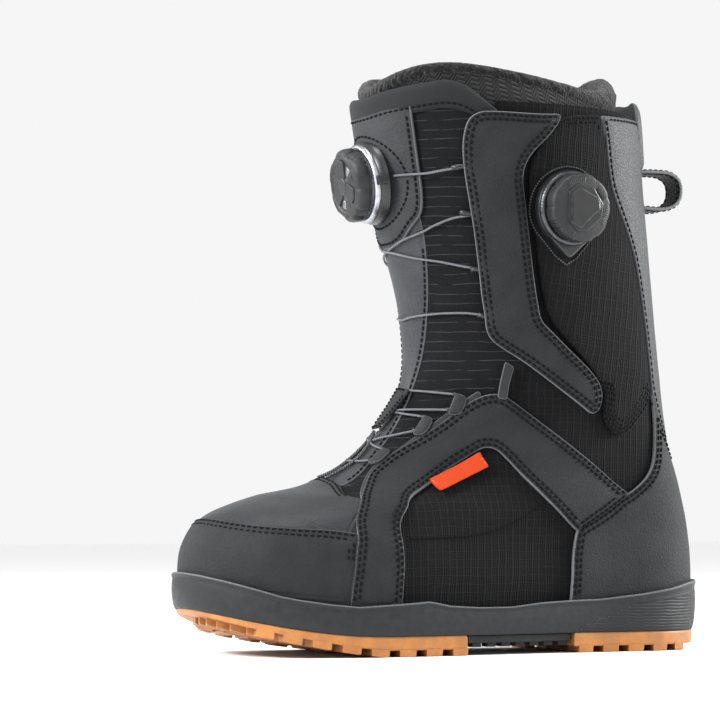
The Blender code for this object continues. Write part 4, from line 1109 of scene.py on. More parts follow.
def build_base():
    us = np.linspace(-1, 1, 360)[:-1]
    top = np.interp(np.abs(us), [0, 0.12, 0.16, 0.2, 0.25, 0.3, 0.36, 0.42, 0.5, 0.6, 1.0],
                    [4.3, 4.5, 5.5, 6.5, 7.1, 7.6, 8.2, 8.9, 8.9, 7.4, 7.0])
    low = low_row(us) + 0.1
    rows = [(low + (top - low) * t, -1.4) for t in np.linspace(0, 1, 60)]
    ring_surface("quarter_cloth", us, rows, MAT["rip"], "shell", ("upper_base",), straight=True)
    us = np.linspace(0.40, 1.60, 200)
    rows = [(np.full(len(us), v), -1.5) for v in np.linspace(6.7, 12.05, 56)]
    ring_surface("cuff_cloth", us, rows, MAT["rip"], "shell", ("cuff_base",), closed=False,
                 straight=True)
    inner = [(np.full(len(us), v), -3.0) for v in np.linspace(6.7, 12.05, 24)]
    ring_surface("cuff_lining", us, inner, MAT["lining"], "shell", closed=False)


def build_uppers():
    seam = [(0.325, 2.5), (0.282, 2.61), (0.237, 2.6), (0.169, 2.65), (0.1, 2.77), (0.045, 2.86)]
    rand = [(0.0, 0.55), (0.1, 0.45), (0.2, 0.28)] + side([(80, 27), (78.5, 37), (76, 51)]) + seam
    loop_pts = rand + [(0.0, 2.88)] + [(-u, v) for u, v in reversed(rand[1:])]
    _, loop = panel("toe_cap", loop_pts, -0.4, 1.9, MAT["leather"], "shell", ("toe_rand",),
                    edge=1.0, puff=0.5, corner=1.5)
    top = lambda u, v, p: v > 1.5
    for d in SEAMS:
        stitch_row(loop, d, 2.0, "shell", keep=top)
    vamp = [(0.0, 2.5), (0.12, 2.42), (0.25, 2.3)] + side([(77, 60), (66, 74), (60, 80)])
    vamp += [(0.263, 4.18), (0.23, 4.28), (0.18, 4.72), (0.133, 5.06), (0.09, 5.24), (0.03, 5.36)]
    full = vamp + [(0.0, 5.38)] + [(-u, v) for u, v in reversed(vamp[1:])]
    _, loop = panel("vamp_panel", full, -0.9, 1.1, MAT["vamp"], "shell", ("vamp",), puff=0.4,
                    wave=0.2)
    upper = lambda u, v, p: (v > 4.2) & (np.abs(u) < 0.25)
    for d in SEAMS:
        stitch_row(loop, d, 1.25, "shell", keep=upper)
    outer, inner = side(SADDLE_OUT), side(SADDLE_IN)
    for name, s in BOTH:
        pts = flipped(outer + inner, s)
        _, loop = panel("saddle_%s_panel" % name, pts, -0.6, 1.8, MAT["leather"], "shell",
                        ("saddle_" + name,), puff=0.7, edge=1.0)
        for d in SEAMS:
            stitch_row(loop, d, 2.15 if d < 3 else 2.4, "shell", low=29)
        strip = side([(65, 78), (56, 88), (43, 100), (19, 116), (4, 129), (-8, 134)])
        pts = flipped(strip + EYESTAY[::-1], s)
        panel("eyestay_%s" % name, pts, -0.8, 0.9, MAT["strip"], "shell", puff=0.3, edge=0.7)
        curve = side([(44, 63), (30, 63.5), (8, 64), (-11, 67), (-30, 75), (-42, 84)])
        stitch_path(flipped(curve, s), -1.25, "shell", mat_key="thread", pitch=3.3)
    edge = side(COUNTER_EDGE)
    pts = edge + [(0.9, 7.1), (1.0, 7.1), (1.1, 7.1)] + [(2 - u, v) for u, v in reversed(edge)]
    pts += [(1.2, 0.1), (1.1, 0.1), (1.0, 0.1), (0.9, 0.1), (0.8, 0.1)]
    _, loop = panel("heel_counter_panel", pts, -0.6, 1.7, MAT["leather"], "shell",
                    ("heel_counter",), puff=0.9, edge=1.0)
    front = lambda u, v, p: (p[:, 2] > 30) & ((u % 2 < 0.9) | (u % 2 > 1.1))
    for d in SEAMS:
        stitch_row(loop, d, 2.1 if d < 3 else 2.4, "shell", keep=front)
    strip = side(GORE_REAR)
    pts = strip + [(0.9, 12.0), (1.0, 12.0), (1.1, 12.0)]
    pts += [(2 - u, v) for u, v in reversed(strip)] + [(1.08, 6.95), (1.0, 6.95), (0.92, 6.95)]
    _, loop = panel("back_strip", pts, -0.6, 1.6, MAT["back"], "shell", ("backstay",), puff=1.2,
                    edge=0.9)
    stitch_row(loop, 2.0, 1.9, "shell", keep=lambda u, v, p: (u % 2 < 0.9) | (u % 2 > 1.1))
    for name, s in BOTH:
        row = np.array(flipped(strip[:-1], s))
        fine = even(fillet(row, closed=False), 2.0, closed=False)
        tube("back_piping_" + name, skin(fine[:, 0], fine[:, 1], 1.5), 0.9, MAT["piping"],
             "shell", 8)


HINGE = np.array((-96.69, 42.22, 134.08))
GORE_FRONT = [(-46, 294), (-41, 287), (-34, 279), (-28, 271), (-25, 262), (-26, 246), (-30, 228),
              (-35, 198), (-39, 184), (-50, 172), (-62, 161), (-71, 152), (-77, 142), (-76, 132),
              (-80, 124), (-88, 119), (-94, 120), (-103, 129)]
BAND = [(6, 293), (0, 294), (-28, 293), (-43, 294), (-42, 290), (-35, 281), (-26, 273),
        (-21, 265), (-20, 257), (-22, 246), (-25, 228), (-30, 198), (-34, 181), (-40, 176),
        (-51, 166), (-64, 156), (-72, 148), (-74, 141), (-73, 134), (-68, 130), (-59, 136),
        (-41, 148), (-25, 159), (-15, 165), (-8, 170), (-5, 176), (-4, 185), (-2, 193),
        (1, 212), (4, 228), (7, 242), (12, 265), (13, 278), (11, 289)]


def hinge_sides(s):
    across = np.array((0.9896, 0.0, -0.144))
    base = HINGE * np.array((1, s, 1))
    a, b = base - across * 3, base + across * 16
    return [((p - ORIGIN) * MM).tolist() for p in (a, b)]


BAND_BULGES = (264, 240, 211, 185)    # heights of the pipe ends under the band
GUIDES = {"upper": (0.31, 11.1, 10.45), "lower": (0.31, 9.66, 8.95)}


def build_wings():
    band = side(BAND, 5.7)
    gore = side(GORE_FRONT + GORE_REAR, 2.2)
    for name, s in BOTH:
        wing = "wing_" + name
        start, end = hinge_sides(s)
        bend = ("shell", wing, start, end)
        _, loop = panel("gore_%s_cloth" % name, flipped(gore, s), 0.6, 1.7, MAT["rip"], bend,
                        ("wing_gore_" + name, "gore_strip_" + name), puff=0.3,
                        wave=0.25, tilt=6)
        low = lambda u, v, p: (p[:, 2] < 150) & (p[:, 0] < -72) & (p[:, 0] > -112)
        for d in (1.6, 3.6, 5.6, 7.6):
            stitch_row(loop, d, 1.75, bend, keep=low, pitch=3.0, length=2.2)
        crown = lambda u, v, p: (p[:, 2] > 287) & (p[:, 0] > -71)
        for d in SEAMS:
            stitch_row(loop, d, 1.85, bend, keep=crown)
        bulge = lambda u, v, p, d: (sum(0.9 * np.exp(-((p[:, 2] - z) / 5) ** 2)
                                        for z in BAND_BULGES)
                                    * np.clip(1 - d / 12, 0, 1) * (p[:, 0] > -14)
                                    * np.clip(d / 2, 0, 1))
        _, loop = panel("band_%s_panel" % name, flipped(band, s), 2.9, 5.2, MAT["leather"], wing,
                        ("wing_band_" + name,), puff=0.8, edge=1.1, shape=bulge, corner=3.0)
        for d in SEAMS:
            stitch_row(loop, d, 5.55 if d < 3 else 5.8, wing)
        for key, (u0, va, vb) in GUIDES.items():
            mid, half = (va + vb) / 2, (va - vb) / 2
            w = np.linspace(-0.35, math.pi + 0.35, 24)
            path = skin(s * (u0 + 0.07 * np.sin(w)), mid + half * np.cos(w), 1.7)
            tube("guide_%s_%s_pipe" % (key, name), path, 1.5, MAT["housing"], wing, 12,
                 ("guide_%s_%s" % (key, name),))



TONGUE_FOLD = ((0.0227, -0.0052, 0.136), (0.0227, -0.0052, 0.160))    # metres, in the frame


def build_tongue():
    bend = ("shell", "tongue", *TONGUE_FOLD)
    wide = [(0.0, 4.9), (0.12, 4.9), (0.22, 5.1), (0.30, 5.7), (0.34, 6.4), (0.37, 7.2),
            (0.41, 8.0), (0.43, 9.0), (0.43, 10.2), (0.42, 11.2), (0.402, 11.85), (0.36, 12.05),
            (0.315, 12.2), (0.233, 12.2), (0.116, 12.1), (0.0, 12.06)]
    full = wide + [(-u, v) for u, v in reversed(wide[1:-1])]
    panel("tongue_cloth", full, -3.0, -1.6, MAT["slub"], bend, ("tongue_upper", "tongue_lower"),
          puff=0.25, wave=0.3, corner=5.0, tilt=0)
    strip = [(0.17, 10.6), (0.177, 10.03), (0.132, 8.96), (0.108, 8.5), (0.074, 7.92),
             (0.068, 7.55), (0.068, 7.14), (0.075, 6.57), (0.094, 6.04), (0.125, 5.53),
             (0.13, 5.15)]
    full = strip + [(-u, v) for u, v in reversed(strip)]
    _, loop = panel("spine_strip", full, -1.5, -0.5, MAT["spine"], bend,
                    ("tongue_spine", "instep_spine"), puff=0.25, edge=0.7, gap=2.0)
    stitch_row(loop, 1.6, -0.35, bend, keep=lambda u, v, p: (v < 10.0) & (v > 5.3), pitch=3.3)
    patch = [(0.204, 12.05), (0.205, 11.61), (0.203, 11.17), (0.201, 10.88), (0.195, 10.6),
             (0.179, 10.39), (0.143, 10.25), (0.099, 10.03), (0.049, 9.93)]
    full = patch + [(0.0, 9.92)] + [(-u, v) for u, v in reversed(patch)]
    full[0] = (0.204, 12.1)
    full[-1] = (-0.204, 12.1)
    _, loop = panel("dial_patch", full, -1.4, 0.9, MAT["patch"], "tongue", puff=0.5, corner=4.0)
    stitch_row(loop, 2.6, 1.35, "tongue", keep=lambda u, v, p: v < 11.95, pitch=3.3)
    ring = skin(loop[:, 0], loop[:, 1], 0.5)
    keep = loop[:, 1] < 12.05
    start = int(np.argmin(keep))
    ordered = np.roll(np.arange(len(loop)), -start)
    path = ring[[i for i in ordered if keep[i]]]
    tube("patch_piping", path[::2], 0.8, MAT["piping"], "tongue", 8)
    us = np.linspace(-0.402, 0.402, 120)
    top = np.interp(np.abs(us), [0, 0.06, 0.116, 0.18, 0.233, 0.281, 0.315, 0.342, 0.362, 0.387,
                                 0.402],
                    [12.09, 12.1, 12.15, 12.2, 12.24, 12.28, 12.27, 12.2, 12.1, 11.99, 11.91])
    rows = []
    for t, off in ((-0.34, -1.2), (-0.33, 0.2), (-0.30, 0.95), (-0.2, 1.25), (-0.1, 1.3),
                   (-0.02, 1.2), (0.03, 0.6), (0.06, -0.3), (0.07, -1.4), (0.05, -2.6),
                   (0.0, -3.4), (-0.1, -3.7), (-0.3, -3.6)):
        rows.append((top + t * np.clip((0.41 - np.abs(us)) / 0.05, 0.35, 1), off))
    ring_surface("tongue_binding_tape", us, rows, MAT["binding"], "tongue", ("tongue_binding",),
                 closed=False)
    seam = [(float(a), float(b) - 0.26) for a, b in zip(us[2:-2:4], top[2:-2:4])]
    stitch_path(seam, 1.2, "tongue", pitch=3.3)


# ---------------------------------------------------------------- dials

def local_frame(u, v):
    u, v = np.array([u], float), np.array([v], float)
    p, n = last(u, v)[0], normal(u, v)[0]
    up = np.array([0, 0, 1.0]) - n * n[2]
    up = up / np.linalg.norm(up)
    x = np.cross(up, n)
    m = np.eye(4)
    m[:3, 0], m[:3, 1], m[:3, 2], m[:3, 3] = x, up, n, p
    return m


def tilted(m, degrees):
    a = math.radians(degrees)
    r = np.eye(4)
    r[1:3, 1:3] = [[math.cos(a), -math.sin(a)], [math.sin(a), math.cos(a)]]
    return m @ r


def set_in(m, pts):
    p = np.asarray(pts, float)
    return p @ m[:3, :3].T + m[:3, 3]


def lathe(name, profile, m, mat, body, steps=96, nodes=(), wobble=None, cap=False):
    """Turned part: (r, z) profile about the frame's axis; wobble varies the radius."""
    verts, uv = [], []
    ang = np.linspace(0, 2 * math.pi, steps, endpoint=False)
    run = 0.0
    prev = None
    for r, z in profile:
        if prev is not None:
            run += math.hypot(r - prev[0], z - prev[1])
        prev = (r, z)
        rr = np.full(steps, float(r))
        zz = np.full(steps, float(z))
        if wobble is not None:
            rr, zz = wobble(ang, rr, zz)
        verts.append(np.stack([rr * np.cos(ang), rr * np.sin(ang), zz], -1))
        uv.append(np.stack([ang * 20, np.full(steps, run)], -1))
    n, k = steps, len(profile)
    faces = quads(k, n)
    if cap:
        faces.append(tuple(range((k - 1) * n, k * n)))
    return piece(name, set_in(m, np.concatenate(verts)), faces, mat, body, np.concatenate(uv),
                 None, nodes)


def plate(name, outline, z0, z1, m, mat, body, ease=0.5, dome=0.0, nodes=()):
    """Flat plate with softened edges from an outline in the frame's plane."""
    p = np.asarray(outline, float)
    c = p.mean(axis=0)
    size = np.linalg.norm(p - c, axis=1).mean()
    rings = [(1.0, z0), (1.0, z1 - ease), (1 - 0.3 * ease / size, z1 - 0.3 * ease),
             (1 - ease / size, z1)]
    for f in (0.8, 0.5, 0.2):
        rings.append((f * (1 - ease / size), z1 + dome * (1 - f * f)))
    n = len(p)
    verts, uv = [], []
    for f, z in rings:
        q = c + (p - c) * f
        verts.append(np.column_stack([q, np.full(n, z)]))
        uv.append(q)
    faces = quads(len(rings), n)
    faces.append(tuple(range((len(rings) - 1) * n, len(rings) * n)))
    return piece(name, set_in(m, np.concatenate(verts)), faces, mat, body, np.concatenate(uv),
                 None, nodes, smooth=False)


def rounded(points, radius, steps=5):
    p = np.asarray(points, float)
    out = []
    n = len(p)
    for i in range(n):
        b = p[i]
        e, f = p[i - 1] - b, p[(i + 1) % n] - b
        le, lf = np.linalg.norm(e), np.linalg.norm(f)
        c = min(radius, 0.45 * le, 0.45 * lf)
        q0, q1 = b + e / le * c, b + f / lf * c
        for t in np.linspace(0, 1, steps):
            out.append((1 - t) ** 2 * q0 + 2 * t * (1 - t) * b + t * t * q1)
    return out


def polar(r, deg):
    return (r * math.cos(math.radians(deg)), r * math.sin(math.radians(deg)))


def build_front_dial():
    m = tilted(local_frame(0.0, 10.9), -5.0)
    z = 4.8       # top of the seat above the last
    R = 19.4      # outer radius of the knob
    body = "tongue"
    teeth = lambda a, r, h: (r + 0.22 * (np.abs(np.sin(a * 60)) - 0.5) * (r > R + 1.0), h)
    lathe("front_dial_base", [(R + 4.2, -0.5), (R + 3.9, 1.8), (R + 2.6, z - 0.9),
                              (R + 1.2, z + 0.2), (R - 2, z + 0.2)], m, MAT["housing"], body, 120,
          ("front_dial_seat",))
    lathe("front_dial_ring", [(R + 2.3, z - 0.4), (R + 2.6, z + 0.4), (R + 2.3, z + 1.4),
                              (R + 1.5, z + 2.4), (R + 0.6, z + 2.7), (R - 0.6, z + 2.2),
                              (R - 1.4, z + 1.2)], m, MAT["metal"], body, 240,
          ("front_dial_trim",), teeth)
    lathe("front_dial_drum", [(R - 0.6, z), (R - 1.0, z + 2.2), (R - 1.6, z + 2.6),
                              (R - 1.6, z + 4.4), (R - 3.2, z + 9.2), (R - 5.0, z + 9.2),
                              (R - 5.0, z + 3.0)], m,
          MAT["dark_metal"], body, 160, ("front_dial_housing",),
          lambda a, r, h: (r + 0.18 * np.sign(np.sin(a * 40)) * (h > z + 2.3), h))
    lathe("front_dial_reel", [(3.0, z + 7.3), (14.6, z + 7.3), (14.6, z + 6.4), (12.0, z + 5.8),
                              (12.0, z + 3.6), (14.6, z + 3.0), (14.6, z + 1.9)], m,
          MAT["housing"], "front_spool", 64, ("front_dial_spool",))
    lathe("front_dial_pin", [(2.4, z + 1.0), (2.4, z + 9.6), (0.4, z + 9.9)], m, MAT["metal"],
          "front_axle", 32, ("front_dial_axle",), cap=True)
    groove = lambda a: np.exp(-((np.mod(a * 6 / (2 * math.pi), 1) - 0.5) / 0.05) ** 2)
    pads = lambda a, r, h: (r - 0.55 * groove(a) * (r > R - 3.5), h)
    knob = [(R - 3.2, z + 3.6), (R - 2.0, z + 3.3), (R - 0.6, z + 3.6), (R - 0.4, z + 4.4),
            (R - 0.5, z + 6.5), (R - 0.7, z + 8.8), (R - 1.2, z + 10.6), (R - 2.0, z + 11.6),
            (R - 3.0, z + 12.1), (R - 4.4, z + 12.3)]
    lathe("front_knob_grip", knob, m, MAT["knob"], "front_knob", 240, ("front_dial_knob",),
          pads)
    lathe("front_knob_face", [(R - 4.2, z + 12.3), (R - 4.7, z + 11.7), (R - 5.2, z + 11.6),
                              (6.0, z + 11.9), (5.2, z + 12.3), (3.0, z + 12.5), (0.3, z + 12.6)],
          m, MAT["plate"], "front_knob", 96, cap=True)
    across = 12    # points over the width of one grip pad
    for k in range(6):
        a = 60 * k + 30
        arc = np.radians(np.linspace(a - 20, a + 20, across))
        zs = [z + 4.5, z + 4.8, z + 5.3, z + 8.4, z + 9.4, z + 10.4, z + 11.2, z + 11.9, z + 12.0]
        rs = [R - 0.8, R + 0.6, R + 1.0, R + 0.95, R + 0.75, R + 0.3, R - 0.4, R - 1.6, R - 2.6]
        verts, uv = [], []
        for zz, rr in zip(zs, rs):
            soft = np.clip(1 - np.abs(np.linspace(-1, 1, across)) ** 6, 0, 1)
            r = (rr - 1.4) + 1.4 * soft
            verts.append(np.stack([r * np.cos(arc), r * np.sin(arc), np.full(across, zz)], -1))
            uv.append(np.stack([arc * 20, np.full(across, zz)], -1))
        faces = quads(len(zs), across, closed=False)
        piece("front_knob_pad_%d" % k, set_in(m, np.concatenate(verts)), faces, MAT["knob"],
              "front_knob", np.concatenate(uv), None, ())
    for k in range(3):
        a = 120 * k + 90
        arm = rounded([polar(5.5, a - 50), polar(13.8, a - 20), polar(14.6, a),
                       polar(13.8, a + 20), polar(5.5, a + 50), polar(4.0, a)], 1.2)
        plate("front_knob_arm_%d" % k, arm, z + 11.4, z + 12.7, m, MAT["knob"], "front_knob", 0.5)
        for side_sign in (-1, 1):
            w = a + 60 + side_sign * 14
            hole = rounded([polar(8.0, w - 9), polar(12.6, w - 9), polar(12.9, w + 9),
                            polar(8.0, w + 9)], 0.8)
            plate("front_knob_window_%d_%d" % (k, side_sign + 1), hole, z + 11.2, z + 11.95, m,
                  MAT["metal"] if (k + side_sign) % 3 == 0 else MAT["housing"], "front_knob",
                  0.3)
    plate("front_knob_cap", [polar(4.6, 15 * i) for i in range(24)], z + 12.2, z + 13.0, m,
          MAT["plate"], "front_knob", 0.5, 0.15)
    ring = np.array([polar(R + 6.4, a) for a in np.linspace(0, 360, 120)])
    u, v = seek_ring(m, ring, 0.0, 10.9)
    stitch(skin(u, v, 1.45), normal(u, v), body, pitch=3.2, length=2.3)
    port = rounded([polar(R + 1.0, -8), polar(R + 5.0, -6), polar(R + 5.0, 6), polar(R + 1.0, 8)],
                   1.0)
    plate("front_dial_port", [(x, y) for x, y in port], 0.5, z + 1.6, m, MAT["housing"], body,
          0.6)
    port = rounded([polar(R + 1.0, 172), polar(R + 5.0, 174), polar(R + 5.0, 186),
                    polar(R + 1.0, 188)], 1.0)
    plate("front_dial_port_medial", [(x, y) for x, y in port], 0.5, z + 1.6, m, MAT["housing"],
          body, 0.6)


def seek_ring(m, pts, u, v):
    """(u, v) below points of a frame's plane."""
    axes = m[:3, :2]
    target = set_in(m, np.column_stack([pts, np.zeros(len(pts))])) @ axes
    return seek(target, axes, np.full(len(pts), float(u)), np.full(len(pts), float(v)))


def build_side_dial():
    (u0, v0), = side([(-49, 243)])
    m = local_frame(u0, v0)
    z, R = 5.4, 18.6
    wing = "wing_lateral"
    drop = rounded([polar(R + 2.4, a) for a in range(-50, 231, 14)] + [(0.0, -28.0)], 3.0)
    plate("side_dial_base", drop, 1.2, z, m, MAT["housing"], wing, 0.9,
          nodes=("side_dial_seat",))
    lathe("side_dial_collar", [(R + 1.9, z - 0.5), (R + 2.0, z + 0.9), (R + 1.3, z + 2.2),
                               (R + 0.2, z + 2.5), (R - 1.2, z + 2.2)], m, MAT["dark_metal"], wing,
          200, ("side_dial_trim",),
          lambda a, r, h: (r + 0.15 * np.sin(a * 70) * (r > R + 1), h))
    lathe("side_dial_drum", [(R - 1.6, z), (R - 1.6, z + 4.0), (R - 3.0, z + 8.8),
                             (R - 5.0, z + 8.8)], m, MAT["housing"], wing, 96,
          ("side_dial_housing",))
    lathe("side_dial_reel", [(3.0, z + 7.3), (13.6, z + 7.3), (13.6, z + 6.0), (11.0, z + 5.6),
                             (11.0, z + 3.6), (13.6, z + 3.0)], m, MAT["housing"], "side_spool",
          64, ("side_dial_spool",))
    lathe("side_dial_pin", [(2.4, z + 1.0), (2.4, z + 9.6), (0.4, z + 9.9)], m, MAT["metal"],
          "side_axle", 32, ("side_dial_axle",), cap=True)

    def grip(a, r, h):
        deg = np.degrees(a) % 360
        zone = ((deg > 205) & (deg < 250)) | (deg > 325) | (deg < 10)
        zone |= (deg > 85) & (deg < 130)
        ribs = 0.75 * (0.5 - np.abs(np.mod(a * 76 / (2 * math.pi), 1) - 0.5)) * 2
        out = r > R - 2.4
        facet = 1.0 - np.abs(np.cos(a * 4.5)) ** 0.35
        face = (r < R - 1.0) & (r > R - 4.6)
        return r - (ribs * zone + facet) * out, h + 0.45 * ribs * zone * face

    lathe("side_knob_grip", [(R - 2.0, z + 3.6), (R - 0.6, z + 3.3), (R + 0.35, z + 3.8),
                             (R + 0.4, z + 6.5), (R + 0.3, z + 9.6), (R - 0.1, z + 10.4),
                             (R - 0.7, z + 10.9), (R - 1.6, z + 11.1), (R - 2.8, z + 11.2),
                             (R - 4.0, z + 11.3), (R - 5.0, z + 11.5), (0.4, z + 11.6)],
          m, MAT["knob"], "side_knob", 304, ("side_dial_knob",), grip, cap=True)
    outer = rounded([(-9.5, 8.5), (-3.5, 13.2), (6.5, 11.0), (13.0, 2.5), (12.0, -5.0),
                     (3.0, -12.5), (-3.0, -13.2), (-9.5, -7.0)], 1.2)
    plate("side_knob_step", outer, z + 11.2, z + 12.1, m, MAT["housing"], "side_knob", 0.5)
    centre = rounded([(-7.5, 6.6), (-2.5, 10.2), (9.5, 5.2), (10.3, -0.4), (2.0, -7.2),
                      (-1.2, -10.6), (-7.2, -7.6)], 0.8)
    rim = [(x * 1.09, y * 1.09) for x, y in centre]
    plate("side_knob_rim", rim, z + 11.8, z + 12.45, m, MAT["dark_metal"], "side_knob", 0.25)
    plate("side_knob_plate", centre, z + 11.9, z + 12.9, m, MAT["housing"], "side_knob", 0.35)
    notch = rounded([polar(13.6, 52), polar(15.4, 50), polar(15.4, 20), polar(13.6, 18)], 0.6)
    plate("side_knob_notch", notch, z + 11.2, z + 11.9, m, MAT["housing"], "side_knob", 0.3)
    rim = []
    for a in np.linspace(-50, 230, 70):
        rim.append(polar(R + 4.2, a))
    rim += [(-6.5, -26.5), (0.0, -31.0), (6.5, -26.5)]
    rim = np.array(rim + rim[:1])
    u, v = seek_ring(m, rim, u0, v0)
    stitch(skin(u, v, 2.3), normal(u, v), wing, "thread_grey", 1.1, 1.6, 0.5, 0.5)


# ---------------------------------------------------------------- laces and trim

def on_skin(points, step=1.6):
    q = spline(np.asarray(points, float) * np.array([240.0, 25.0, 1.0]), step)
    q = q / np.array([240.0, 25.0, 1.0])
    return skin(q[:, 0], q[:, 1], q[:, 2])


def row_point(p):
    return ((np.asarray(p, float) - ORIGIN) * MM).tolist()


def lace(name, pts, mat, bodies, nodes=()):
    """Cord over the shell; bodies gives (start, end) of the joint it spans."""
    path = on_skin(pts)
    a, b = path[0], path[-1]
    spec = bodies
    if not isinstance(bodies, str):
        spec = (bodies[0], bodies[1], row_point(a), row_point(b))
    return tube(name, path, 0.65, mat, spec, 10, nodes)


def build_laces():
    for name, s in BOTH:
        wing = "wing_" + name
        lift = 0.0 if s > 0 else 1.4
        high_out = [(0.335, 11.1, 1.8), (0.28, 11.06, 2.3), (0.225, 11.0, 2.6)]
        high_in = [(0.155, 10.98, 2.2), (0.126, 10.97, 2.4)]
        up_out = [(0.335, 10.45, 1.7), (0.27, 10.38, 1.0), (0.21, 10.25, 0.4)]
        up_in = [(0.169, 10.15, 0.6), (0.09, 10.02, 1.1), (0.021, 9.9, 1.0)]
        mid_out = [(0.335, 9.66, 1.7), (0.27, 9.68, 0.9), (0.21, 9.72, 0.2)]
        mid_in = [(0.13, 9.76, 0.6), (0.05, 9.84, 0.8), (-0.021, 9.9, 1.0)]
        low_out = [(0.335, 8.95, 1.7), (0.27, 8.97, 0.8), (0.21, 8.94, 0.0)]
        low_in = [(0.11, 8.87, 0.4), (0.0, 8.80, 0.6)]
        strands = (("exit", high_out, high_in, 0.0), ("upper", up_out, up_in, lift),
                   ("middle", mid_out, mid_in, 1.4 - lift), ("low", low_out, low_in, 0.0))
        for key, outer, inner, rise in strands:
            across = [(s * u, v, o + rise * math.exp(-(u / 0.05) ** 2))
                      for u, v, o in outer + inner]
            nodes = ("lace_upper",) if (key, s) == ("exit", 1) else ()
            lace("lace_%s_%s_tongue" % (key, name), across, MAT["cord"], "tongue", nodes)
            lace("lace_%s_%s_wing" % (key, name), across[:3][::-1], MAT["cord"],
                 ("shell", wing))
    hooks = side([(7, 136.5), (23, 124.5), (45, 107)])
    for k, (u, v) in enumerate(hooks):
        for name, s in BOTH:
            w = np.linspace(-0.5, math.pi + 0.5, 20)
            du, dv = 0.019, 0.16
            path = skin(s * (u + du * np.sin(w) - 0.002), v + dv * np.cos(w), 1.8)
            tube("saddle_guide_%d_%s_pipe" % (k + 1, name), path, 1.1, MAT["housing"], "shell", 10,
                 ("saddle_guide_%d_%s" % (k + 1, name),))
            sleeve = [(u - 0.006, v - 0.27), (u + 0.03, v - 0.25), (u + 0.03, v + 0.15),
                      (u - 0.004, v + 0.2)]
            panel("guide_sleeve_%d_%s" % (k + 1, name), flipped(sleeve, s), 0.8, 3.0,
                  MAT["strip"], "shell", puff=0.9, gap=1.6, corner=3.0)
    a, b, c = hooks
    runs = [((a[0], a[1] - 0.16), (b[0], b[1] + 0.16)), ((b[0], b[1] - 0.16), (c[0], c[1] + 0.16))]
    for k, (p, q) in enumerate(runs):
        for name, s in BOTH:
            lift = 0.0 if s > 0 else 1.3
            pts = []
            for t in (0.0, 0.2, 0.35, 0.5, 0.65, 0.8, 1.0):
                u = p[0] * (1 - t) - q[0] * t
                base = 1.9 if t in (0.0, 1.0) else 0.8 if t in (0.2, 0.8) else 1.0
                pts.append((s * u, p[1] * (1 - t) + q[1] * t,
                            base + lift * math.exp(-((t - 0.5) / 0.12) ** 2)))
            lace("lace_instep_%d_%s" % (k + 1, name), pts, MAT["cord"], "shell",
                 ("lace_lower",) if (k == 0 and s > 0) else ())
    ends = [(s * u, c[1] - 0.16, o) for s, u, o in
            ((1, c[0], 1.9), (1, c[0] * 0.6, 0.7), (1, 0.0, 0.9), (-1, c[0] * 0.6, 0.7),
             (-1, c[0], 1.9))]
    lace("lace_instep_end", ends, MAT["cord"], "shell")
    top = [(s * u, a[1] + 0.16, o) for s, u, o in
           ((1, a[0], 1.9), (1, a[0] * 0.6, 0.4), (1, 0.0, 0.4), (-1, a[0] * 0.6, 0.4),
            (-1, a[0], 1.9))]
    lace("lace_instep_top", top, MAT["cord"], "shell")


def build_trim():
    keeper = [(0.013, 7.67), (0.083, 7.62), (0.016, 6.77), (-0.055, 6.75)]
    _, loop = panel("lace_keeper_tab", keeper, 2.6, 3.6, MAT["webbing"], "shell",
                    ("lace_keeper",), puff=0.2, gap=1.6, corner=1.0, edge=0.5)
    stitch_row(loop, 1.0, 3.75, "shell", pitch=2.2, length=1.5)
    for name, s in BOTH:
        pts = [(s * u, v, o) for u, v, o in ((0.0, 6.7, 2.8), (0.02, 6.4, 1.4), (0.035, 6.0, 1.0),
                                            (0.03, 5.6, 1.0), (0.045, 5.3, 1.6))]
        tube("keeper_cord_" + name, on_skin(pts), 1.0, MAT["braid"], "shell", 10, ())
        loop_pts = side([(-13, 139), (-14, 148), (-16.5, 159), (-21.5, 156), (-19, 147),
                         (-18, 138)], 3.0)
        _, loop = panel("saddle_loop_%s_tab" % name, flipped(loop_pts, s), 2.3, 3.3,
                        MAT["strip"], "shell", ("saddle_top_loop_" + name,), puff=0.2, gap=1.6,
                        corner=1.0, edge=0.5)
    shape = [(x, -4.6) for x in np.linspace(-17, 17, 12)]
    shape += [(x, 4.6) for x in np.linspace(17, -17, 12)]
    (u0, v0), = side([(9, 97)])
    m = local_frame(u0, v0)
    a = math.radians(31)
    turn = [(x * math.cos(a) - y * math.sin(a), x * math.sin(a) + y * math.cos(a))
            for x, y in shape]
    u, v = seek_ring(m, np.array(turn), u0, v0)
    _, loop = panel("side_label", list(zip(u.tolist(), v.tolist())), 2.4, 3.3, MAT["label"],
                     "shell", ("side_tab",), puff=0.1, corner=0.6, edge=0.4, gap=1.6)
    stitch_row(loop, 1.1, 3.35, "shell", pitch=2.4, length=1.6, width=0.4, thick=0.3,
               keep=lambda a_, b_, p: (p[:, 0] < -3) | (p[:, 0] > 21), mat_key="thread_orange")


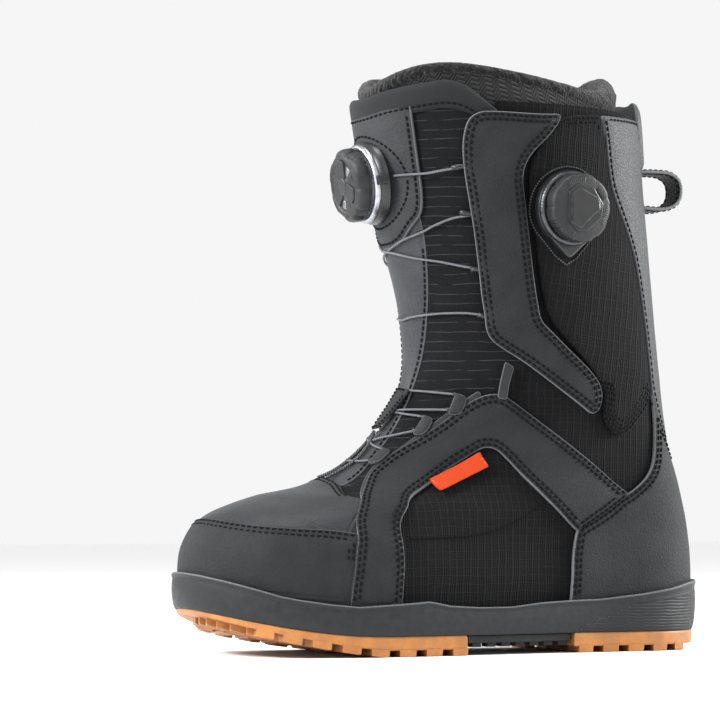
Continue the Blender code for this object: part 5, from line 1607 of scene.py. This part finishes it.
def build_pull_loop():
    loop = [(-119.5, 271.0), (-130, 271.5), (-140, 271.0), (-146.0, 267.5), (-147.6, 261.5),
            (-146, 255.5), (-140.5, 251.5), (-132, 250.2), (-120.5, 250.8)]
    path = spline(np.array(loop), 1.2)
    tan = np.gradient(path, axis=0)
    tan /= np.linalg.norm(tan, axis=1, keepdims=True)
    nor = np.stack([-tan[:, 1], tan[:, 0]], -1)
    verts, uv = [], []
    cross = [(-8.7, 0.0), (-8.5, 0.8), (-7.6, 1.1), (-4, 1.15), (0, 1.15), (4, 1.15), (7.6, 1.1),
             (8.5, 0.8), (8.7, 0.0), (8.5, -0.8), (7.6, -1.1), (0, -1.15), (-7.6, -1.1),
             (-8.5, -0.8)]
    run = travel(path)
    for p, n, s in zip(path, nor, run):
        for y, o in cross:
            verts.append((p[0] + n[0] * o, y, p[1] + n[1] * o))
            uv.append((y, s))
    k, m = len(cross), len(path)
    faces = quads(m, k)
    # edge is the distance in from the strap's sides; the leather material uses it for the seam
    # bump and the painted edge highlight.
    edge = [8.7 - abs(y) for _ in range(m) for y, _ in cross]
    piece("pull_strap", verts, faces, MAT["leather"], "shell", uv,
          {"edge": edge, "run": [s for s in run for _ in cross]}, ("pull_loop",))
    for y in (-6.9, 6.9):
        for sign in (1, -1):
            line = np.stack([path[:, 0] + nor[:, 0] * 1.1 * sign, np.full(m, y),
                             path[:, 1] + nor[:, 1] * 1.1 * sign], -1)
            up = np.stack([nor[:, 0] * sign, np.zeros(m), nor[:, 1] * sign], -1)
            stitch(line, up, "shell")


# ---------------------------------------------------------------- inner boot

def fuzz_rows(us, rows, amount, size, seed):
    out = []
    for v, o in rows:
        v = np.broadcast_to(np.asarray(v, float), us.shape)
        p = skin(us, v, o)
        out.append((v, o + amount * ripple(p, size, seed) + 0.5 * amount * ripple(p, size * 0.45,
                                                                                  seed + 2)))
    return out


COLLAR_U = (0.0, 0.05, 0.12, 0.2, 0.27, 0.34, 0.45, 0.6, 0.7, 0.78, 0.84, 0.92, 1.0)
COLLAR_V = (12.1, 12.15, 12.25, 12.45, 12.54, 12.52, 12.4, 12.24, 12.16, 12.14, 12.2, 12.3, 12.3)
KNIT_SWELL = (1.2, 1.2, 1.4, 1.8, 2.2, 2.4, 2.4, 2.2, 2.0, 2.2, 2.6, 2.8, 2.8)
LEAN_IN = (0.5, 0.5, 0.3, 0.0, 0.0, 0.0, 0.0, 1.0, 2.6, 4.2, 5.6, 7.0, 7.5)
ROLL_SIZE = (3.6, 4.2, 4.0, 2.4, 1.9, 1.9, 1.9, 2.1, 2.8, 4.6, 6.2, 6.4, 6.0)


def eased(x, values):
    steps = np.linspace(-0.06, 0.06, 9)
    return np.mean([np.interp(np.abs(x + d), COLLAR_U, values) for d in steps], axis=0)


def build_liner():
    us = np.linspace(-1, 1, 300)[:-1]
    inner = [(np.full(len(us), v), -10.2) for v in np.linspace(0.9, 12.0, 70)]
    ring_surface("liner_inside", us, inner, MAT["lining"], "shell", ("liner_boot",))
    around_u = np.abs((us + 1) % 2 - 1)
    top = eased(around_u, COLLAR_V)
    lump, lean = eased(around_u, KNIT_SWELL), eased(around_u, LEAN_IN)
    rows = []
    for t in np.linspace(0, 1, 30):
        v = 11.2 + (top - 11.2) * t
        rows.append((v, -3.9 + lump * math.sin(math.pi * min(1.0, t * 1.1)) - 3.4 * t ** 7
                     - lean * t ** 1.5))
    ring_surface("liner_knit_band", us, rows, MAT["knit"], "shell", ())
    fine = np.linspace(-1, 1, 720)[:-1]
    place = np.abs((fine + 1) % 2 - 1)
    high = eased(place, COLLAR_V)
    fat = eased(place, ROLL_SIZE)
    mid = -6.6 - eased(place, LEAN_IN) - 0.5 * fat
    a = np.linspace(0, 2 * math.pi, 32)
    roll = [(high + fat / 95.0 + fat / 23.7 * np.sin(w), mid + fat * 1.15 * np.cos(w))
            for w in a]
    ob = ring_surface("liner_collar_roll", fine, fuzz_rows(fine, roll, 0.5, 2.4, 1.0),
                      MAT["fleece"], "shell", ("liner_collar",))
    bed = plan(-12.5, 160)
    n = len(bed[0])
    top = bed[1].copy()
    top[:, 2] = 38 + 0.5 * ripple(top, 30)
    verts = np.concatenate([top, [[0, 0, 38.5]]])
    faces = [(k, (k + 1) % n, n) for k in range(n)]
    piece("footbed_top", verts, faces, MAT["fleece"], "shell",
          np.stack([verts[:, 0], verts[:, 1]], -1), None, ("footbed",))


def build_achilles():
    outline = [(0.895, 11.35), (0.885, 11.9), (0.90, 12.2), (0.945, 12.3), (1.0, 12.24),
               (1.055, 12.3), (1.10, 12.2), (1.115, 11.9), (1.105, 11.35), (1.0, 11.3)]
    lobes = lambda u, v, p, d: (3.4 * (1 - np.exp(-d / 4.0))
                                - 1.8 * np.exp(-((u - 1.0) / 0.012) ** 2) * np.clip(d / 3, 0, 1))
    ob, _ = panel("achilles_cushion", outline, 1.4, 2.6, MAT["back"], "shell",
                     ("achilles_pad",), puff=0.3, shape=lobes, gap=2.0, corner=4.0)
    stitch_path([(1.0, 11.4), (1.0, 11.8), (1.0, 12.2)], 4.4, "shell")


# ---------------------------------------------------------------- studio

def area_light(name, where, look_at, size, power, shape="SQUARE", size_y=None):
    light = bpy.data.lights.new(name, "AREA")
    light.energy = power
    light.shape = "RECTANGLE" if size_y else shape
    light.size = size
    if size_y:
        light.size_y = size_y
    ob = bpy.data.objects.new(name, light)
    bpy.context.scene.collection.objects.link(ob)
    ob.location = where
    ob.rotation_euler = (Vector(look_at) - Vector(where)).to_track_quat("-Z", "Y").to_euler()
    return ob


def build_studio():
    mesh = bpy.data.meshes.new("studio_floor")
    s = 6.0
    mesh.from_pydata([(-s, -s, 0), (s, -s, 0), (s, s, 0), (-s, s, 0)], [], [(0, 1, 2, 3)])
    layer = mesh.uv_layers.new(name="UVMap")
    layer.data.foreach_set("uv", [0, 0, 1, 0, 1, 1, 0, 1])
    floor = bpy.data.objects.new("studio_floor", mesh)
    bpy.context.scene.collection.objects.link(floor)
    floor.data.materials.append(MAT["floor"])
    world = bpy.data.worlds.new("studio")
    bpy.context.scene.world = world
    world.use_nodes = True
    back = world.node_tree.nodes["Background"]
    back.inputs[0].default_value = (1.0, 1.0, 1.0, 1)
    back.inputs[1].default_value = 0.92
    aim = (0, 0, 0.16)
    area_light("key_left", (1.15, 0.3, 0.8), aim, 0.4, 26)
    area_light("fill_camera", (0.1, 1.6, 1.1), aim, 0.6, 4)
    area_light("rim_right", (-1.15, 0.2, 0.5), aim, 0.4, 22)
    area_light("rim_left", (1.0, -0.7, 0.7), aim, 0.4, 12)
    area_light("top", (0.2, 0.1, 1.5), aim, 0.4, 12)
    bpy.context.scene.view_settings.view_transform = "Standard"


CAMERA_AT = (0.73455, 1.53162, 0.0754)    # metres, in the frame
CAMERA_HEADING, CAMERA_TILT = math.radians(246.0), math.radians(2.892)
CAMERA_LENS, SENSOR = 153.43, 36.0    # mm


def build_camera():
    cam = bpy.data.cameras.new("camera")
    cam.lens = CAMERA_LENS
    cam.sensor_width = SENSOR
    cam.clip_start, cam.clip_end = 0.05, 30
    ob = bpy.data.objects.new("camera", cam)
    bpy.context.scene.collection.objects.link(ob)
    ob.location = CAMERA_AT
    look = Vector((math.cos(CAMERA_HEADING), math.sin(CAMERA_HEADING), math.tan(CAMERA_TILT)))
    look.normalize()
    ob.rotation_mode = "QUATERNION"
    ob.rotation_quaternion = look.to_track_quat("-Z", "Y")
    bpy.context.scene.camera = ob


def build():
    build_sole()
    build_base()
    build_uppers()
    build_wings()
    build_tongue()
    build_front_dial()
    build_side_dial()
    build_laces()
    build_trim()
    build_pull_loop()
    build_liner()
    build_achilles()
    flush_stitches()
    build_studio()
    build_camera()


build()
